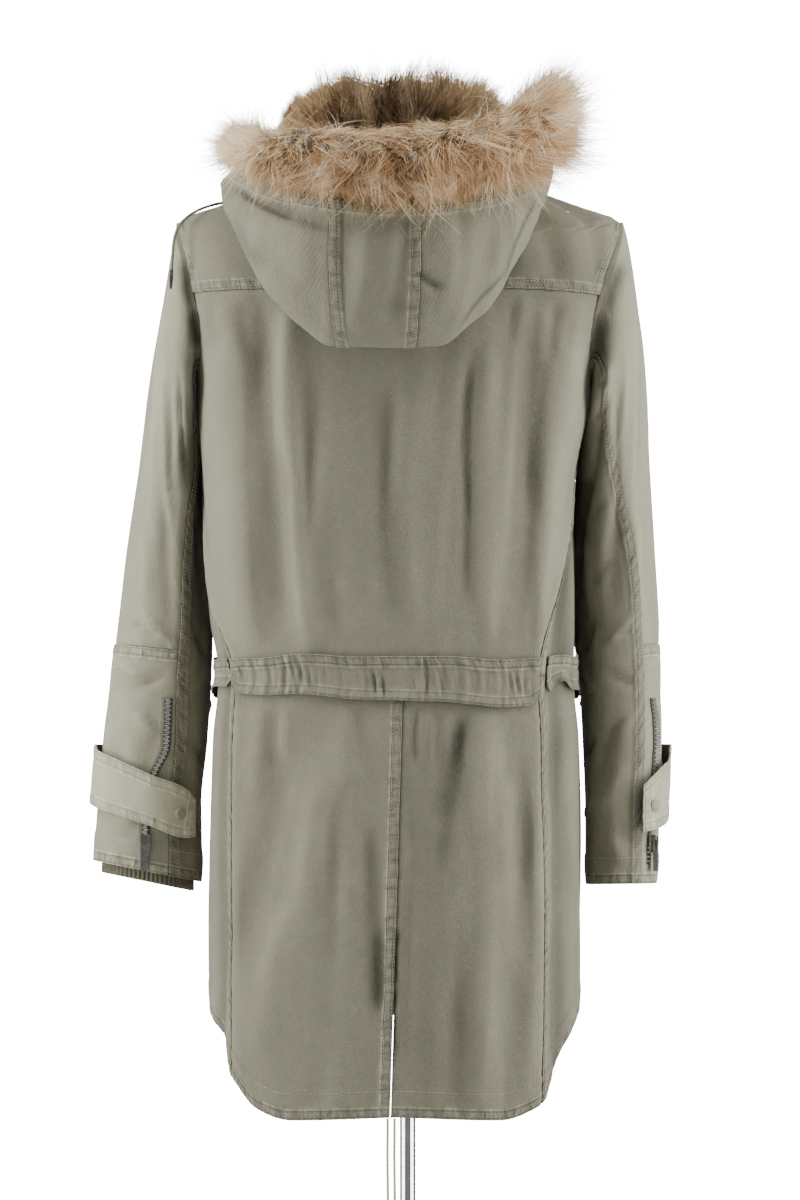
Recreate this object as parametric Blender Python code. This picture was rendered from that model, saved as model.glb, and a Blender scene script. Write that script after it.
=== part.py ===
"""A hooded cotton parka with a fur-trimmed hood, filled out on a limbless dress form.

Metres, +Z up. The back faces -Y, the wearer's right side is at +X, and the base stands on Z = 0.
Every cloth piece is a thin wall: an outer grid of points on the garment's surface and the same
grid moved in by the wall. Neighbouring pieces share the points of their seam.
"""

import math

import bpy
import numpy as np

# Driving dimensions
CX = -0.010  # the coat's middle plane, beside the pole's axis
WALL = 0.0018
GAP = 0.0003  # between pieces at a seam
SEAT = 0.0011  # between the coat and the form's shoulders, at their facets' corners
NECK_H = 1.403
TIP_H = 1.356
UNDERARM_H = 1.190
ARM_MID = (TIP_H + UNDERARM_H) / 2
ARM_HALF = (TIP_H - UNDERARM_H) / 2
ARM_ANGLE = 33.0  # the armhole reaches this far each side of the body's side line
ARM_STEPS = 10  # steps from the shoulder tip to the underarm
WAIST_H = 0.925
CASING_LOW = 0.902
CASING_HIGH = 0.944
VENT_TOP = 0.680
HEM_LOW = 0.507
HEM_SIDE = 0.612
HEM_FRONT = 0.600
FORM_BOTTOM = 0.735
FORM_NECK_TOP = 1.452
FORM_NECK_R = 0.052
POLE_R = 0.0075
BASE_R = 0.150
BASE_T = 0.010
HOOD_FRONT = 158.0  # the hood's front edges, in degrees from the middle of the back
HOOD_SEAMS = (-17.0, 11.0)
CORD_R = 0.0015
HEM_CORD_R = 0.0014
SLEEVE_R = 0.050  # a sleeve's usual radius, for widths round it


def table(columns, *rows):
    """Named columns from rows of numbers."""
    return dict(zip(columns.split(), np.array(rows, float).T))


# The coat's rings, hem to neck. half widths, depths, and the heights of side, back and front.
BODY = table(
    "h left right back front side_z back_z front_z square",
    (0.480, 0.177, 0.172, 0.128, 0.116, 0.480, 0.480, 0.480, 2.5),
    (0.605, 0.178, 0.173, 0.127, 0.116, 0.605, 0.605, 0.605, 2.5),
    (0.750, 0.177, 0.174, 0.122, 0.114, 0.750, 0.750, 0.750, 2.5),
    (0.860, 0.175, 0.172, 0.113, 0.110, 0.860, 0.860, 0.860, 2.5),
    (0.925, 0.170, 0.168, 0.106, 0.106, 0.925, 0.925, 0.925, 2.5),
    (0.990, 0.178, 0.168, 0.108, 0.109, 0.990, 0.990, 0.990, 2.6),
    (1.092, 0.183, 0.168, 0.115, 0.118, 1.092, 1.092, 1.092, 2.8),
    (1.190, 0.187, 0.180, 0.121, 0.124, 1.190, 1.190, 1.190, 3.0),
    (1.246, 0.197, 0.194, 0.122, 0.122, 1.246, 1.246, 1.246, 3.2),
    (1.300, 0.208, 0.208, 0.118, 0.113, 1.300, 1.296, 1.288, 3.1),
    (1.340, 0.209, 0.213, 0.109, 0.100, 1.339, 1.330, 1.307, 2.7),
    (1.356, 0.205, 0.210, 0.103, 0.093, 1.356, 1.344, 1.314, 2.5),
    (1.372, 0.168, 0.170, 0.092, 0.086, 1.371, 1.358, 1.323, 2.3),
    (1.388, 0.124, 0.124, 0.078, 0.079, 1.388, 1.372, 1.332, 2.1),
    (1.403, 0.084, 0.084, 0.066, 0.074, 1.403, 1.384, 1.340, 2.0),
)
# The side seams in the back view, as angles from the middle of the back.
SIDE_SEAM = table(
    "h left right",
    (0.500, 54.0, 47.0),
    (0.925, 57.0, 47.0),
    (0.955, 59.0, 48.0),
    (1.005, 72.0, 55.0),
    (1.100, 84.0, 74.0),
    (1.190, 90.0, 90.0),
)
# The back hem over the angle: a fishtail, low in the middle and high at the sides.
HEM = table(
    "angle z",
    (0, HEM_LOW),
    (32, HEM_LOW - 0.003),
    (45, HEM_LOW + 0.009),
    (54, HEM_LOW + 0.037),
    (64, HEM_LOW + 0.075),
    (78, HEM_SIDE - 0.008),
    (95, HEM_SIDE),
    (130, HEM_FRONT),
    (180, HEM_FRONT),
)
# The largest folds of back (-1) and front (+1): where they run, how wide, how far out.
FOLDS = table(
    "face x_top x_low z_top z_low width rise",
    (-1, -0.118, -0.092, 1.28, 0.95, 0.011, 0.0042),
    (-1, -0.140, -0.120, 1.28, 0.97, 0.012, -0.0036),
    (-1, -0.172, -0.150, 1.26, 0.94, 0.016, 0.0040),
    (-1, -0.030, -0.010, 1.20, 0.98, 0.020, -0.0020),
    (-1, 0.012, 0.014, 1.20, 0.96, 0.016, 0.0020),
    (-1, 0.061, 0.056, 1.23, 1.00, 0.009, -0.0036),
    (-1, 0.078, 0.076, 1.24, 0.97, 0.012, 0.0030),
    (-1, 0.122, 0.100, 1.28, 0.97, 0.013, -0.0036),
    (-1, 0.150, 0.120, 1.27, 0.95, 0.015, 0.0040),
    (-1, -0.071, -0.140, 0.87, 0.58, 0.020, 0.0045),
    (-1, -0.110, -0.160, 0.86, 0.66, 0.016, -0.0030),
    (-1, -0.036, -0.030, 0.78, 0.60, 0.011, -0.0045),
    (-1, 0.052, 0.030, 0.89, 0.74, 0.010, -0.0036),
    (-1, 0.078, 0.072, 0.86, 0.56, 0.016, 0.0036),
    (-1, 0.110, 0.100, 0.85, 0.60, 0.012, -0.0030),
    (-1, 0.126, 0.118, 0.80, 0.56, 0.010, 0.0030),
    (1, -0.115, -0.108, 1.24, 0.96, 0.016, 0.0036),
    (1, -0.070, -0.075, 1.20, 0.97, 0.013, -0.0028),
    (1, 0.070, 0.064, 1.22, 0.96, 0.015, 0.0032),
    (1, 0.115, 0.105, 1.24, 0.98, 0.014, -0.0030),
    (1, -0.100, -0.118, 0.88, 0.64, 0.016, 0.0038),
    (1, -0.070, -0.078, 0.86, 0.66, 0.012, -0.0030),
    (1, 0.060, 0.066, 0.88, 0.65, 0.015, -0.0030),
    (1, 0.095, 0.110, 0.87, 0.64, 0.018, 0.0036),
)
# Each sleeve's rings: the outer and inner line, the half depth, its middle, and the back seam.
SLEEVE_COLUMNS = "v out_x out_z in_x in_z deep mid_y seam"
SLEEVE = {
    "left": table(
        SLEEVE_COLUMNS,
        (0.00, -0.2165, 1.356, -0.1975, 1.190, 0.074, 0.000, 126),
        (0.06, -0.2245, 1.322, -0.2008, 1.181, 0.077, 0.001, 126),
        (0.13, -0.2330, 1.275, -0.1995, 1.165, 0.078, 0.004, 134),
        (0.21, -0.2415, 1.228, -0.1970, 1.143, 0.077, 0.013, 138),
        (0.29, -0.2475, 1.187, -0.1950, 1.118, 0.074, 0.024, 136),
        (0.39, -0.2560, 1.120, -0.1930, 1.075, 0.070, 0.034, 120),
        (0.51, -0.2667, 1.045, -0.1898, 1.023, 0.064, 0.042, 112),
        (0.62, -0.2750, 0.977, -0.1850, 0.965, 0.056, 0.046, 108),
        (0.68, -0.2809, 0.940, -0.1862, 0.931, 0.053, 0.047, 108),
        (0.81, -0.2895, 0.860, -0.1905, 0.860, 0.048, 0.048, 112),
        (0.91, -0.2945, 0.800, -0.1965, 0.800, 0.045, 0.048, 113),
        (1.00, -0.2990, 0.742, -0.1965, 0.738, 0.043, 0.047, 113),
    ),
    "right": table(
        SLEEVE_COLUMNS,
        (0.00, 0.2040, 1.356, 0.1760, 1.190, 0.074, 0.000, 126),
        (0.06, 0.2125, 1.322, 0.1750, 1.181, 0.077, 0.001, 116),
        (0.13, 0.2190, 1.275, 0.1708, 1.165, 0.078, 0.005, 104),
        (0.21, 0.2235, 1.235, 0.1650, 1.143, 0.077, 0.018, 98),
        (0.29, 0.2270, 1.187, 0.1612, 1.118, 0.074, 0.028, 90),
        (0.39, 0.2302, 1.122, 0.1578, 1.075, 0.072, 0.038, 74),
        (0.51, 0.2350, 1.045, 0.1568, 1.023, 0.068, 0.044, 60),
        (0.62, 0.2385, 0.977, 0.1580, 0.965, 0.064, 0.046, 56),
        (0.68, 0.2400, 0.940, 0.1622, 0.931, 0.062, 0.046, 55),
        (0.81, 0.2416, 0.862, 0.1668, 0.862, 0.059, 0.046, 57),
        (0.91, 0.2395, 0.800, 0.1690, 0.800, 0.057, 0.045, 58),
        (1.00, 0.2368, 0.736, 0.1700, 0.733, 0.056, 0.044, 58),
    ),
}
ELBOW = 0.655  # where the outer sleeve is cut across
SLEEVE_FOLDS = table(
    "angle_top angle_low v_top v_low width rise",
    (40, 62, 0.10, 0.62, 0.010, 0.0032),
    (75, 92, 0.20, 0.60, 0.012, -0.0034),
    (150, 140, 0.30, 0.72, 0.010, -0.0030),
    (20, 35, 0.66, 0.86, 0.010, 0.0026),
    (-40, -60, 0.15, 0.62, 0.012, 0.0030),
    (-75, -80, 0.25, 0.80, 0.012, -0.0030),
    (-140, -150, 0.35, 0.75, 0.012, 0.0026),
)
# The cuff straps: the angle round the sleeve, the lower and upper edge, and the stand-off.
STRAP = {
    "left": table(
        "angle low high off",
        (-80, 0.806, 0.858, 0.0007),
        (-40, 0.806, 0.859, 0.0040),
        (0, 0.804, 0.859, 0.0060),
        (45, 0.796, 0.848, 0.0052),
        (90, 0.783, 0.831, 0.0044),
        (128, 0.771, 0.817, 0.0050),
        (138, 0.772, 0.806, 0.0054),
    ),
    "right": table(
        "angle low high off",
        (-80, 0.800, 0.852, 0.0007),
        (-40, 0.800, 0.860, 0.0050),
        (0, 0.793, 0.860, 0.0068),
        (30, 0.784, 0.846, 0.0074),
        (58, 0.778, 0.828, 0.0080),
        (67, 0.777, 0.822, 0.0084),
    ),
}
STRAP_WALL = 0.0022
SNAP_AT = {"left": (121.0, 0.7945), "right": (52.0, 0.802)}  # angle and height on the strap
ZIP_PATH = {
    "left": table("z angle", (0.746, 88.0), (0.800, 86.0), (0.829, 91.0), (0.858, 102.0), (0.904, 100.0)),
    "right": table("z angle", (0.742, 45.0), (0.800, 42.0), (0.840, 40.0), (0.874, 38.0), (0.904, 42.0)),
}
ZIP_WIDTH = 0.0085
ZIP_WALL = 0.0012
ZIP_ENDS = (0.746, 0.904)
ZIP_ROWS = 9
ZIP_ANGLE = math.degrees(ZIP_WIDTH / 2 / SLEEVE_R)
SLIDER_Z = 0.7655
SNAP_R = 0.0062
# The hood round the neck: its roll, inner layer, lower fold and bulge, as radius and height.
HOOD = table(
    "angle roll_r roll_z in_r in_z fold_r fold_z out_r out_z",
    (0, 0.084, 1.450, 0.134, 1.330, 0.162, 1.2355, 0.193, 1.298),
    (18, 0.085, 1.450, 0.136, 1.330, 0.164, 1.2370, 0.194, 1.300),
    (38, 0.088, 1.450, 0.143, 1.348, 0.174, 1.2760, 0.198, 1.325),
    (60, 0.094, 1.446, 0.142, 1.388, 0.177, 1.3560, 0.188, 1.375),
    (78, 0.097, 1.434, 0.133, 1.401, 0.160, 1.3850, 0.173, 1.3925),
    (95, 0.098, 1.422, 0.122, 1.402, 0.144, 1.3915, 0.155, 1.3955),
    (120, 0.096, 1.402, 0.107, 1.390, 0.118, 1.3800, 0.127, 1.379),
    (158, 0.088, 1.364, 0.0945, 1.357, 0.101, 1.3510, 0.106, 1.347),
)
HOOD_SHIFT = -0.012  # the hood lies a little to the left
HOOD_NARROW = 0.08  # and this share narrower than it is deep
# The fur ruff round the opening: its middle, half depth and half height. It sits on the hood's edge.
RUFF = table(
    "angle r z deep high",
    (-158, 0.112, 1.378, 0.017, 0.019),
    (-120, 0.132, 1.418, 0.020, 0.023),
    (-90, 0.148, 1.433, 0.023, 0.022),
    (-60, 0.167, 1.425, 0.029, 0.025),
    (-30, 0.190, 1.419, 0.034, 0.037),
    (0, 0.194, 1.413, 0.035, 0.042),
    (30, 0.192, 1.423, 0.035, 0.046),
    (60, 0.188, 1.445, 0.036, 0.046),
    (85, 0.172, 1.458, 0.036, 0.046),
    (120, 0.138, 1.436, 0.026, 0.034),
    (158, 0.112, 1.380, 0.018, 0.021),
)
LINING = 0.0085  # the pile of the hood's fur lining
LINING_ROLL = 0.044  # more of it where it stands up along the roll
LINING_GAP = 0.0006
LINING_REACH = 90.0  # it ends this many degrees from the middle of the back
LINING_TOP = 4.85  # and just short of the opening's edge
SHOULDER_CORD = (
    (-0.140, 0.050, 1.3725),
    (-0.156, 0.028, 1.3765),
    (-0.172, 0.006, 1.3752),
    (-0.188, -0.014, 1.3715),
    (-0.201, -0.031, 1.3660),
    (-0.2115, -0.046, 1.3585),
    (-0.2180, -0.058, 1.3500),
    (-0.2215, -0.066, 1.3390),
    (-0.2230, -0.071, 1.3260),
    (-0.2238, -0.0735, 1.3100),
)
TIP_LENGTH = 0.018
HEM_CORDS = {"left": -0.0190, "right": -0.0125}
HEM_CORD_END = 0.352

# Colours from the photo: red, green, blue, roughness, metallic
LOOKS = {
    "cotton": (0.275, 0.262, 0.205, 0.95, 0.0),
    "rib": (0.22, 0.21, 0.155, 0.95, 0.0),
    "ruff_fur": (0.42, 0.26, 0.15, 0.85, 0.0),
    "lining_fur": (0.13, 0.095, 0.06, 0.9, 0.0),
    "cord": (0.45, 0.42, 0.32, 0.9, 0.0),
    "dark_metal": (0.10, 0.095, 0.085, 0.45, 1.0),
    "chrome": (0.8, 0.8, 0.8, 0.12, 1.0),
    "form": (0.72, 0.70, 0.66, 0.8, 0.0),
}


def clear():
    for thing in list(bpy.data.objects):
        bpy.data.objects.remove(thing)


def material(name):
    made = bpy.data.materials.get(name)
    if made is None:
        made = bpy.data.materials.new(name)
        made.use_nodes = True
        red, green, blue, rough, metal = LOOKS[name]
        shader = made.node_tree.nodes["Principled BSDF"]
        shader.inputs["Base Color"].default_value = (red, green, blue, 1)
        shader.inputs["Roughness"].default_value = rough
        shader.inputs["Metallic"].default_value = metal
    return made


def node(name, points, faces, look, smooth=True):
    """One closed body from points and faces, turned to face out."""
    points = np.asarray(points, float)
    mesh = bpy.data.meshes.new(name)
    mesh.from_pydata([tuple(p) for p in points], [], faces)
    mesh.materials.append(material(look))
    volume = 0.0
    for face in faces:
        a = points[face[0]]
        for i in range(1, len(face) - 1):
            volume += a @ np.cross(points[face[i]], points[face[i + 1]])
    if volume < 0:
        mesh.flip_normals()
    if smooth:
        mesh.shade_smooth()
        mesh.set_sharp_from_angle(angle=math.radians(40))
    thing = bpy.data.objects.new(name, mesh)
    bpy.context.collection.objects.link(thing)
    return thing


def smooth(t, key, name, at):
    """A named column as a smooth curve that never overshoots its rows."""
    x, y = t[key], t[name]
    at = np.clip(np.asarray(at, float), x[0], x[-1])
    step = np.diff(x)
    slope = np.diff(y) / step
    turn = np.zeros(len(x))
    same = slope[1:] * slope[:-1] > 0
    before = 2 * step[1:] + step[:-1]
    after = step[1:] + 2 * step[:-1]
    safe = np.where(same, slope[:-1], 1)
    safe_next = np.where(same, slope[1:], 1)
    turn[1:-1] = np.where(same, (before + after) / (before / safe + after / safe_next), 0)
    turn[0] = slope[0]
    turn[-1] = slope[-1]
    i = np.clip(np.searchsorted(x, at, side="right") - 1, 0, len(step) - 1)
    u = (at - x[i]) / step[i]
    return (
        y[i] * (1 + 2 * u) * (1 - u) ** 2
        + step[i] * turn[i] * u * (1 - u) ** 2
        + y[i + 1] * u * u * (3 - 2 * u)
        + step[i] * turn[i + 1] * u * u * (u - 1)
    )


def ease(low, high, at):
    u = np.clip((np.asarray(at, float) - low) / (high - low), 0, 1)
    return u * u * (3 - 2 * u)


def unit(v):
    return v / np.maximum(np.linalg.norm(v, axis=-1, keepdims=True), 1e-12)


def body_base(angle, h):
    """The coat without folds. Angle 0 is the back, 90 the side at +X, 180 the front."""
    t = np.radians(angle)
    s = np.sin(t)
    c = np.cos(t)
    power = smooth(BODY, "h", "square", h)
    r = (np.abs(s) ** power + np.abs(c) ** power) ** (-1 / power)
    half = np.where(s > 0, smooth(BODY, "h", "right", h), smooth(BODY, "h", "left", h))
    depth = np.where(c > 0, smooth(BODY, "h", "back", h), smooth(BODY, "h", "front", h))
    side_z = smooth(BODY, "h", "side_z", h)
    far_z = np.where(c > 0, smooth(BODY, "h", "back_z", h), smooth(BODY, "h", "front_z", h))
    return np.stack([CX + half * r * s, -depth * r * c, side_z + (far_z - side_z) * c * c], axis=-1)


def normals(surface, a, b, step_a, step_b):
    across = surface(a + step_a, b) - surface(a - step_a, b)
    up = surface(a, b + step_b) - surface(a, b - step_b)
    return unit(np.cross(across, up))


def fold_height(angle, h):
    """How far the folds stand out."""
    p = body_base(angle, h)
    x = p[..., 0]
    face = np.where(np.cos(np.radians(angle)) > 0, -1, 1)
    total = np.zeros(np.shape(x))
    for i in range(len(FOLDS["face"])):
        f = {k: v[i] for k, v in FOLDS.items()}
        u = (h - f["z_low"]) / (f["z_top"] - f["z_low"])
        centre = f["x_low"] + (f["x_top"] - f["x_low"]) * u
        soft = ease(-0.12, 0.15, u) * (1 - ease(0.85, 1.12, u))
        total = total + f["rise"] * soft * np.exp(-(((x - centre) / f["width"]) ** 2)) * (face == f["face"])
    for sign, name in ((-1, "left"), (1, "right")):
        seam = smooth(SIDE_SEAM, "h", name, h)
        past = (sign * angle - seam) * 0.0030
        soft = 1 - ease(1.02, 1.14, h)
        total = total + soft * 0.0035 * np.exp(-((past / 0.012) ** 2))
        total = total - soft * 0.0060 * np.exp(-(((past - 0.030) / 0.014) ** 2))
    return total


def body(angle, h, out=0.0):
    """The coat's outer surface, moved out by a distance."""
    base = body_base(angle, h)
    away = normals(body_base, np.asarray(angle, float), np.asarray(h, float), 0.4, 0.0008)
    return base + away * (fold_height(angle, h) + out)[..., None]


def grid_faces(points, start, flip, wrap=False):
    """Two triangles for each cell of a grid, cut along the cell's shorter diagonal."""
    rows, columns = points.shape[:2]
    faces = []
    for i in range(rows - 1):
        for j in range(columns if wrap else columns - 1):
            k = (j + 1) % columns
            a, b = start + i * columns + j, start + i * columns + k
            d, c = a + columns, b + columns
            long_way = np.linalg.norm(points[i, j] - points[i + 1, k])
            if long_way <= np.linalg.norm(points[i, k] - points[i + 1, j]):
                pair = ((a, b, c), (a, c, d))
            else:
                pair = ((a, b, d), (b, c, d))
            faces += [face[::-1] for face in pair] if flip else pair
    return faces


def wall(name, outer, inner, look, wrap=False):
    """A cloth wall between an outer and an inner grid; wrap joins its last column to its first."""
    rows, columns = outer.shape[:2]
    count = rows * columns
    faces = grid_faces(outer, 0, False, wrap) + grid_faces(outer, count, True, wrap)
    for j in range(columns if wrap else columns - 1):
        k = (j + 1) % columns
        faces.append((k, j, count + j, count + k))
        last = (rows - 1) * columns
        faces.append((last + j, last + k, count + last + k, count + last + j))
    if not wrap:
        for i in range(rows - 1):
            a = i * columns
            b = a + columns
            faces.append((a, b, count + b, count + a))
            c = a + columns - 1
            d = b + columns - 1
            faces.append((d, c, count + c, count + d))
    points = np.concatenate([outer.reshape(-1, 3), inner.reshape(-1, 3)])
    return node(name, points, faces, look)


def body_panel(name, angle, h, out=0.0, thick=WALL, look="cotton"):
    away = normals(body, angle, h, 0.3, 0.0006)
    outer = body(angle, h) + away * np.asarray(out)[..., None]
    return wall(name, outer, outer - away * thick, look)


def arm_height(step):
    return ARM_MID + ARM_HALF * math.cos(math.pi * step / ARM_STEPS)


def arm_reach(h):
    """How far the armhole is cut away beside the side line, in degrees."""
    u = np.clip((np.asarray(h, float) - ARM_MID) / ARM_HALF, -1, 1)
    return ARM_ANGLE * np.sqrt(1 - u * u)


def side_limit(h, sign):
    """The back panels' outer edge: the armhole, and the side seam below it."""
    name = "left" if sign < 0 else "right"
    seam = smooth(SIDE_SEAM, "h", name, h)
    return np.where(h >= UNDERARM_H - 1e-9, 90 - arm_reach(h), seam)


GAP_ANGLE = 0.06  # half a seam's gap, in degrees at the body's radius
HALF_GAP = GAP / 2
YOKE_STEP = 4  # the yoke seam meets the armhole at this step
YOKE_H = arm_height(YOKE_STEP)
BACK_COLUMNS = 19
FRONT_COLUMNS = 9
FRONT_EDGE = 178.5
SKIRT_ROWS = 9
HEM_SEAM = 0.55  # the hem's height at the side seam, which sets where the seam's angle is read


def spread_angles(left, right, count):
    u = np.linspace(0, 1, count)
    return left[:, None] * (1 - u) + right[:, None] * u


def back_angles(left, middle, right):
    """Columns of the back: even steps from each edge to the middle."""
    half = BACK_COLUMNS // 2 + 1
    halves = [spread_angles(left, middle, half), spread_angles(middle, right, half)[:, 1:]]
    return np.concatenate(halves, axis=1)


def skirt_heights(angle, rows):
    """The skirt's rows: the waist seam, the casing's lower edge, then even steps to the hem."""
    v = np.linspace(0, 1, rows - 1)[:, None]
    low = CASING_LOW + (hem_z(angle[1:]) - CASING_LOW) * v
    return np.concatenate([np.full((1, angle.shape[1]), WAIST_H - HALF_GAP), low])


def make_yoke():
    heights = [arm_height(i) for i in range(YOKE_STEP, -1, -1)] + [1.370, 1.386, NECK_H]
    h = np.array(heights)
    h[0] += HALF_GAP
    edge = np.where(h <= TIP_H, 90 - arm_reach(h), 90.0) - GAP_ANGLE
    angle = back_angles(-edge, 0 * edge, edge)
    body_panel("back_yoke", angle, np.repeat(h[:, None], BACK_COLUMNS, 1))


def upper_back_angles(h):
    left = -side_limit(h, -1) + GAP_ANGLE
    right = side_limit(h, 1) - GAP_ANGLE
    middle = centre_seam(WAIST_H) * (1 - ease(WAIST_H, YOKE_H, h))
    return back_angles(left, middle, right)


def make_upper_back():
    heights = [arm_height(i) for i in range(YOKE_STEP, ARM_STEPS + 1)] + [1.14, 1.09, 1.04, 0.99]
    h = np.array(heights + [CASING_HIGH, WAIST_H + HALF_GAP])
    h[0] -= HALF_GAP
    angle = upper_back_angles(h)
    body_panel("back_upper", angle, np.repeat(h[:, None], BACK_COLUMNS, 1))


def hem_z(angle):
    return smooth(HEM, "angle", "z", np.abs(angle))


def centre_seam(h):
    """The centre back seam leans a little to the left on its way down."""
    return 2.0 - 4.2 * (WAIST_H - h) / (WAIST_H - HEM_LOW)


def vent_half(h):
    """Half the vent's opening, in degrees."""
    return GAP_ANGLE + 0.34 * ease(0, 0.02, VENT_TOP - h)


def make_back_skirt(name, sign):
    columns = BACK_COLUMNS // 2 + 1
    nominal = np.concatenate([[WAIST_H], np.linspace(CASING_LOW, HEM_SEAM, SKIRT_ROWS - 1)])
    outer_edge = sign * (smooth(SIDE_SEAM, "h", "left" if sign < 0 else "right", nominal) - GAP_ANGLE)
    middle = centre_seam(nominal) + sign * vent_half(nominal)
    u = np.linspace(0, 1, columns)
    angle = middle[:, None] * (1 - u) + outer_edge[:, None] * u
    body_panel(name, angle, skirt_heights(angle, SKIRT_ROWS))


FRONT_ROWS = [WAIST_H, CASING_HIGH, 0.99, 1.04, 1.09, 1.14]
FRONT_ROWS += [arm_height(i) for i in range(ARM_STEPS, -1, -1)] + [1.370, 1.386, NECK_H]


def make_front(sign, name):
    """Upper front, from the side seam and armhole to the front edge, up to the shoulder seam."""
    h = np.array(FRONT_ROWS)
    h[0] += HALF_GAP
    seam = smooth(SIDE_SEAM, "h", name, h)
    start = np.where(h >= UNDERARM_H - 1e-9, 90 + np.where(h <= TIP_H, arm_reach(h), 0), seam) + GAP_ANGLE
    end = np.full(len(h), FRONT_EDGE)
    angle = spread_angles(start, end, FRONT_COLUMNS) * sign
    body_panel(f"front_upper_{name}", angle, np.repeat(h[:, None], FRONT_COLUMNS, 1))


def make_front_skirt(sign, name):
    nominal = np.concatenate([[WAIST_H], np.linspace(CASING_LOW, HEM_SEAM, SKIRT_ROWS - 1)])
    start = smooth(SIDE_SEAM, "h", name, nominal) + GAP_ANGLE
    angle = spread_angles(start, np.full(SKIRT_ROWS, FRONT_EDGE), FRONT_COLUMNS) * sign
    body_panel(f"front_skirt_{name}", angle, skirt_heights(angle, SKIRT_ROWS))


def make_casing(name, angle, finer, inset=0.0):
    """A waist casing over the panels' own columns, its gathers raised over a plain inside."""
    hh = np.repeat(CASING_ROWS[:, None], angle.shape[1], 1)
    a = angle
    away = normals(body, a, hh, 0.3, 0.0006)
    inner = body(a, hh) + away * (GAP * 2)
    spans = angle.shape[1] - 1
    share = np.linspace(0, spans, spans * finer + 1)
    share[0] = inset
    i = np.minimum(share.astype(int), spans - 1)
    u = (share - i)[None, :, None]
    inner = inner[:, i] * (1 - u) + inner[:, i + 1] * u
    away = unit(away[:, i] * (1 - u) + away[:, i + 1] * u)
    steps = len(share)
    tall = 0.35 + 0.65 * np.sin(np.arange(steps) * 0.9) ** 2
    wave = np.where(np.arange(steps) % 2, 1.0, 0.0) * tall
    belly = np.array([0.6, 1.0, 0.4])[:, None]
    outer = inner + away * (0.0020 + 0.0014 * wave * belly)[..., None]
    wall(name, outer, inner, "cotton")


CASING_INSET = 0.30  # the side casings start this share of a column past the seam
CASING_ROWS = np.array([CASING_LOW, WAIST_H, CASING_HIGH])


def make_casings():
    h = CASING_ROWS
    back = upper_back_angles(h)
    low = h[:1]
    sides = ((-1, "left"), (1, "right"))
    edges = [sign * (smooth(SIDE_SEAM, "h", name, low) - GAP_ANGLE) for sign, name in sides]
    back[0] = back_angles(edges[0], centre_seam(low), edges[1])[0]
    make_casing("waist_casing_back", back, 2)
    for sign, side in ((-1, "left"), (1, "right")):
        start = smooth(SIDE_SEAM, "h", side, h) + GAP_ANGLE
        angle = spread_angles(start, np.full(len(h), FRONT_EDGE), FRONT_COLUMNS) * sign
        make_casing(f"waist_casing_{side}", angle[:, :-1], 2, CASING_INSET)


PLACKET_SNAPS = 184.5  # the angle of the line of snaps
PLACKET_TOP = 1.395
SNAP_HEIGHTS = (0.644, 0.816, 0.945, 1.090, 1.273)


def make_placket():
    """The strip over the front closing, from neck to hem, with its snaps."""
    skirt = np.linspace(HEM_FRONT, CASING_LOW, SKIRT_ROWS - 1)
    h = np.array(list(skirt) + FRONT_ROWS[:-1] + [PLACKET_TOP])
    a, hh = np.meshgrid(np.array([169.0, 177.0, PLACKET_SNAPS, 191.0]), h)
    body_panel("front_placket", a, hh, 2 * GAP + WALL)
    for i, z in enumerate(SNAP_HEIGHTS):
        at = np.array(PLACKET_SNAPS)
        face = normals(body, at, np.array(z), 0.3, 0.0006)
        foot = body(at, np.array(z)) + face * (WALL + 4 * GAP)
        disc(f"front_snap_{i + 1}", foot, face, SNAP_R, 0.0022, "dark_metal")


def frame_of(axis):
    axis = unit(np.asarray(axis, float))
    side = np.cross(axis, [0, 0, 1])
    if np.linalg.norm(side) < 0.1:
        side = np.cross(axis, [0, 1, 0])
    side = unit(side)
    return side, np.cross(axis, side), axis


def disc(name, foot, axis, radius, thick, look, sides=12):
    """A round cap with a rounded rim, standing on its foot point along its axis."""
    side, up, out = frame_of(axis)
    rings = ((0.0, 0.95), (0.5, 1.0), (1.0, 0.6))
    points = []
    for part, share in rings:
        for k in range(sides):
            t = 2 * math.pi * k / sides
            way = side * math.cos(t) + up * math.sin(t)
            points.append(foot + out * thick * part + way * radius * share)
    points = np.array(points).reshape(len(rings), sides, 3)
    ring_solid(name, points, look)


def ring_solid(name, rings, look):
    """A solid through closed rings, shut flat at both ends."""
    count, sides = rings.shape[:2]
    faces = grid_faces(rings, 0, False, wrap=True)
    faces.append(tuple(range(sides))[::-1])
    faces.append(tuple(range((count - 1) * sides, count * sides)))
    node(name, rings.reshape(-1, 3), faces, look)


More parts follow.
